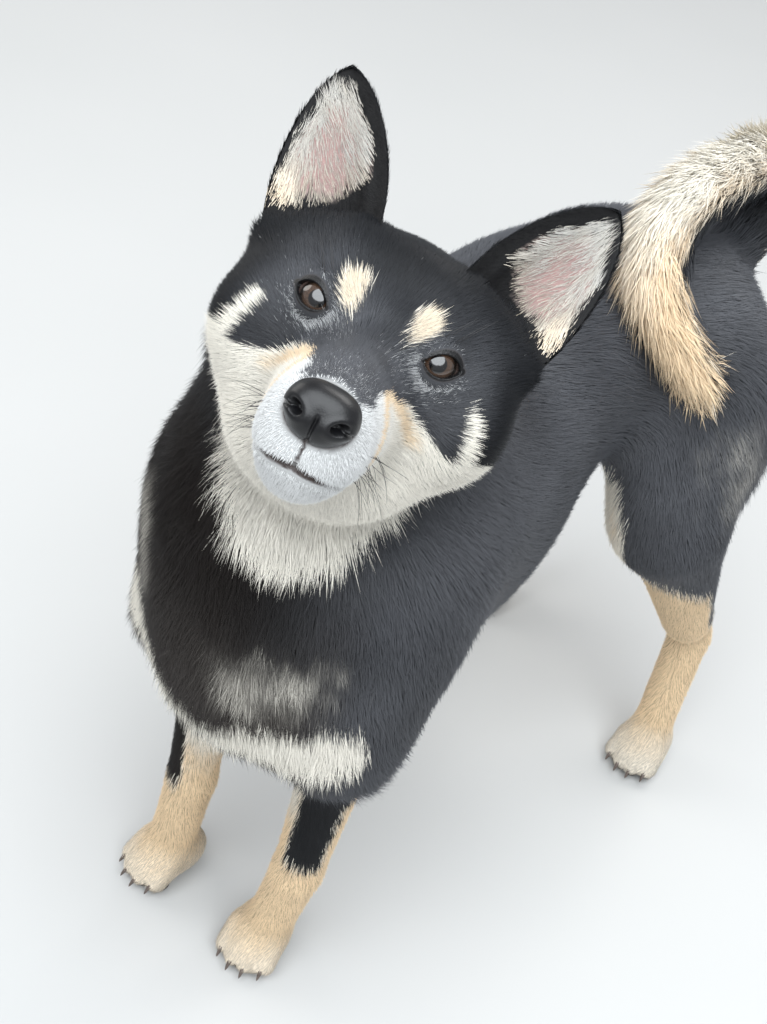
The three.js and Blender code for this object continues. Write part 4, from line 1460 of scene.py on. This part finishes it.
whiskers = []
for side in (1, -1):
    for row in range(4):
        for k in range(5):
            spot = (20 + 0.6 * k, -54 + 6.5 * k + 1.5 * row, -40 - 3.6 * row)
            long = dice.uniform(9, 19) + 2.0 * k
            start = np.array([side * 0.8, 0.3 + 0.1 * k, -0.2 - 0.12 * row])
            start = unit(start + 0.22 * dice.normal(size=3))
            curl = 0.6 * np.array([-side * 0.15, 0.75, -0.25 + 0.25 * dice.normal()])
            whiskers.append(whisker(side, spot, long, start, curl, 0.11))
    for k in range(4):
        start = np.array([side * 0.3, -0.6, 0.6])
        curl = np.array([side * 0.2, 0.5, 0.2])
        spot = (24 + 3 * k, 0, 11 + k % 2 * 2.0)
        whiskers.append(whisker(side, spot, dice.uniform(12, 18), start, curl, 0.10))
horn = Finish("whisker", Roughness=0.4)
horn.feed(Base_Color=horn.blend((0.01, 0.01, 0.012), (0.06, 0.055, 0.05), horn.grain(0.004)))
piece("whiskers", mesh_of("whiskers", *joined(whiskers)), horn.material)


# Floor, lights and camera
floor_finish = Finish("floor_pale", Roughness=0.7)
floor_tone = floor_finish.grain(0.4, 2)
floor_finish.feed(Base_Color=floor_finish.blend((0.46, 0.465, 0.46), (0.50, 0.50, 0.495), floor_tone))
FLOOR = 6  # half its side in metres
floor_mesh = bpy.data.meshes.new("floor")
corners = [(x * FLOOR, y * FLOOR, 0) for x, y in ((-1, -1), (1, -1), (1, 1), (-1, 1))]
floor_mesh.from_pydata(corners, [], [(0, 1, 2, 3)])
floor_mesh.materials.append(floor_finish.material)
floor = bpy.data.objects.new("floor", floor_mesh)
bpy.context.scene.collection.objects.link(floor)

bpy.context.scene.view_settings.view_transform = "Standard"
world = bpy.data.worlds.new("studio")
world.use_nodes = True
sky_sockets = world.node_tree.nodes["Background"].inputs
sky_sockets["Color"].default_value = (0.93, 0.96, 1.0, 1)
sky_sockets["Strength"].default_value = 0.52
bpy.context.scene.world = world


def soft_light(name, place, aim, size, power, colour):
    data = bpy.data.lights.new(name, "AREA")
    data.shape = "ELLIPSE"
    data.size, data.size_y = size
    data.energy = power
    data.color = colour
    lamp = bpy.data.objects.new(name, data)
    lamp.location = place
    lamp.rotation_euler = (Vector(aim) - Vector(place)).to_track_quat("-Z", "Y").to_euler()
    bpy.context.scene.collection.objects.link(lamp)


soft_light("sky", (0.60, -0.90, 2.07), (0, -0.05, 0.35), (3.0, 2.6), 104, (0.92, 0.965, 1.0))
soft_light("side_right", (-2.2, -0.3, 1.4), (0, -0.1, 0.3), (1.8, 1.6), 18, (1.0, 0.98, 0.94))
soft_light("behind", (0.1, 1.6, 2.0), (0, 0.1, 0.35), (1.6, 1.2), 26, (1.0, 0.99, 0.97))

azimuth, elevation, roll = (math.radians(v) for v in (34.8, 38.9, 13.3))
back = Vector((
    math.sin(azimuth) * math.cos(elevation),
    -math.cos(azimuth) * math.cos(elevation),
    math.sin(elevation),
))
right = Vector((math.cos(azimuth), math.sin(azimuth), 0))
up = back.cross(right)
camera_x = right * math.cos(roll) + up * math.sin(roll)
camera_y = up * math.cos(roll) - right * math.sin(roll)
lens = bpy.data.cameras.new("viewer")
lens.lens = 58.0
lens.sensor_width = 36
camera = bpy.data.objects.new("viewer", lens)
aim = Matrix((camera_x, camera_y, back)).transposed().to_4x4()
camera.matrix_world = Matrix.Translation(Vector((VIEWER + SHIFT) * MM)) @ aim
bpy.context.scene.collection.objects.link(camera)
bpy.context.scene.camera = camera
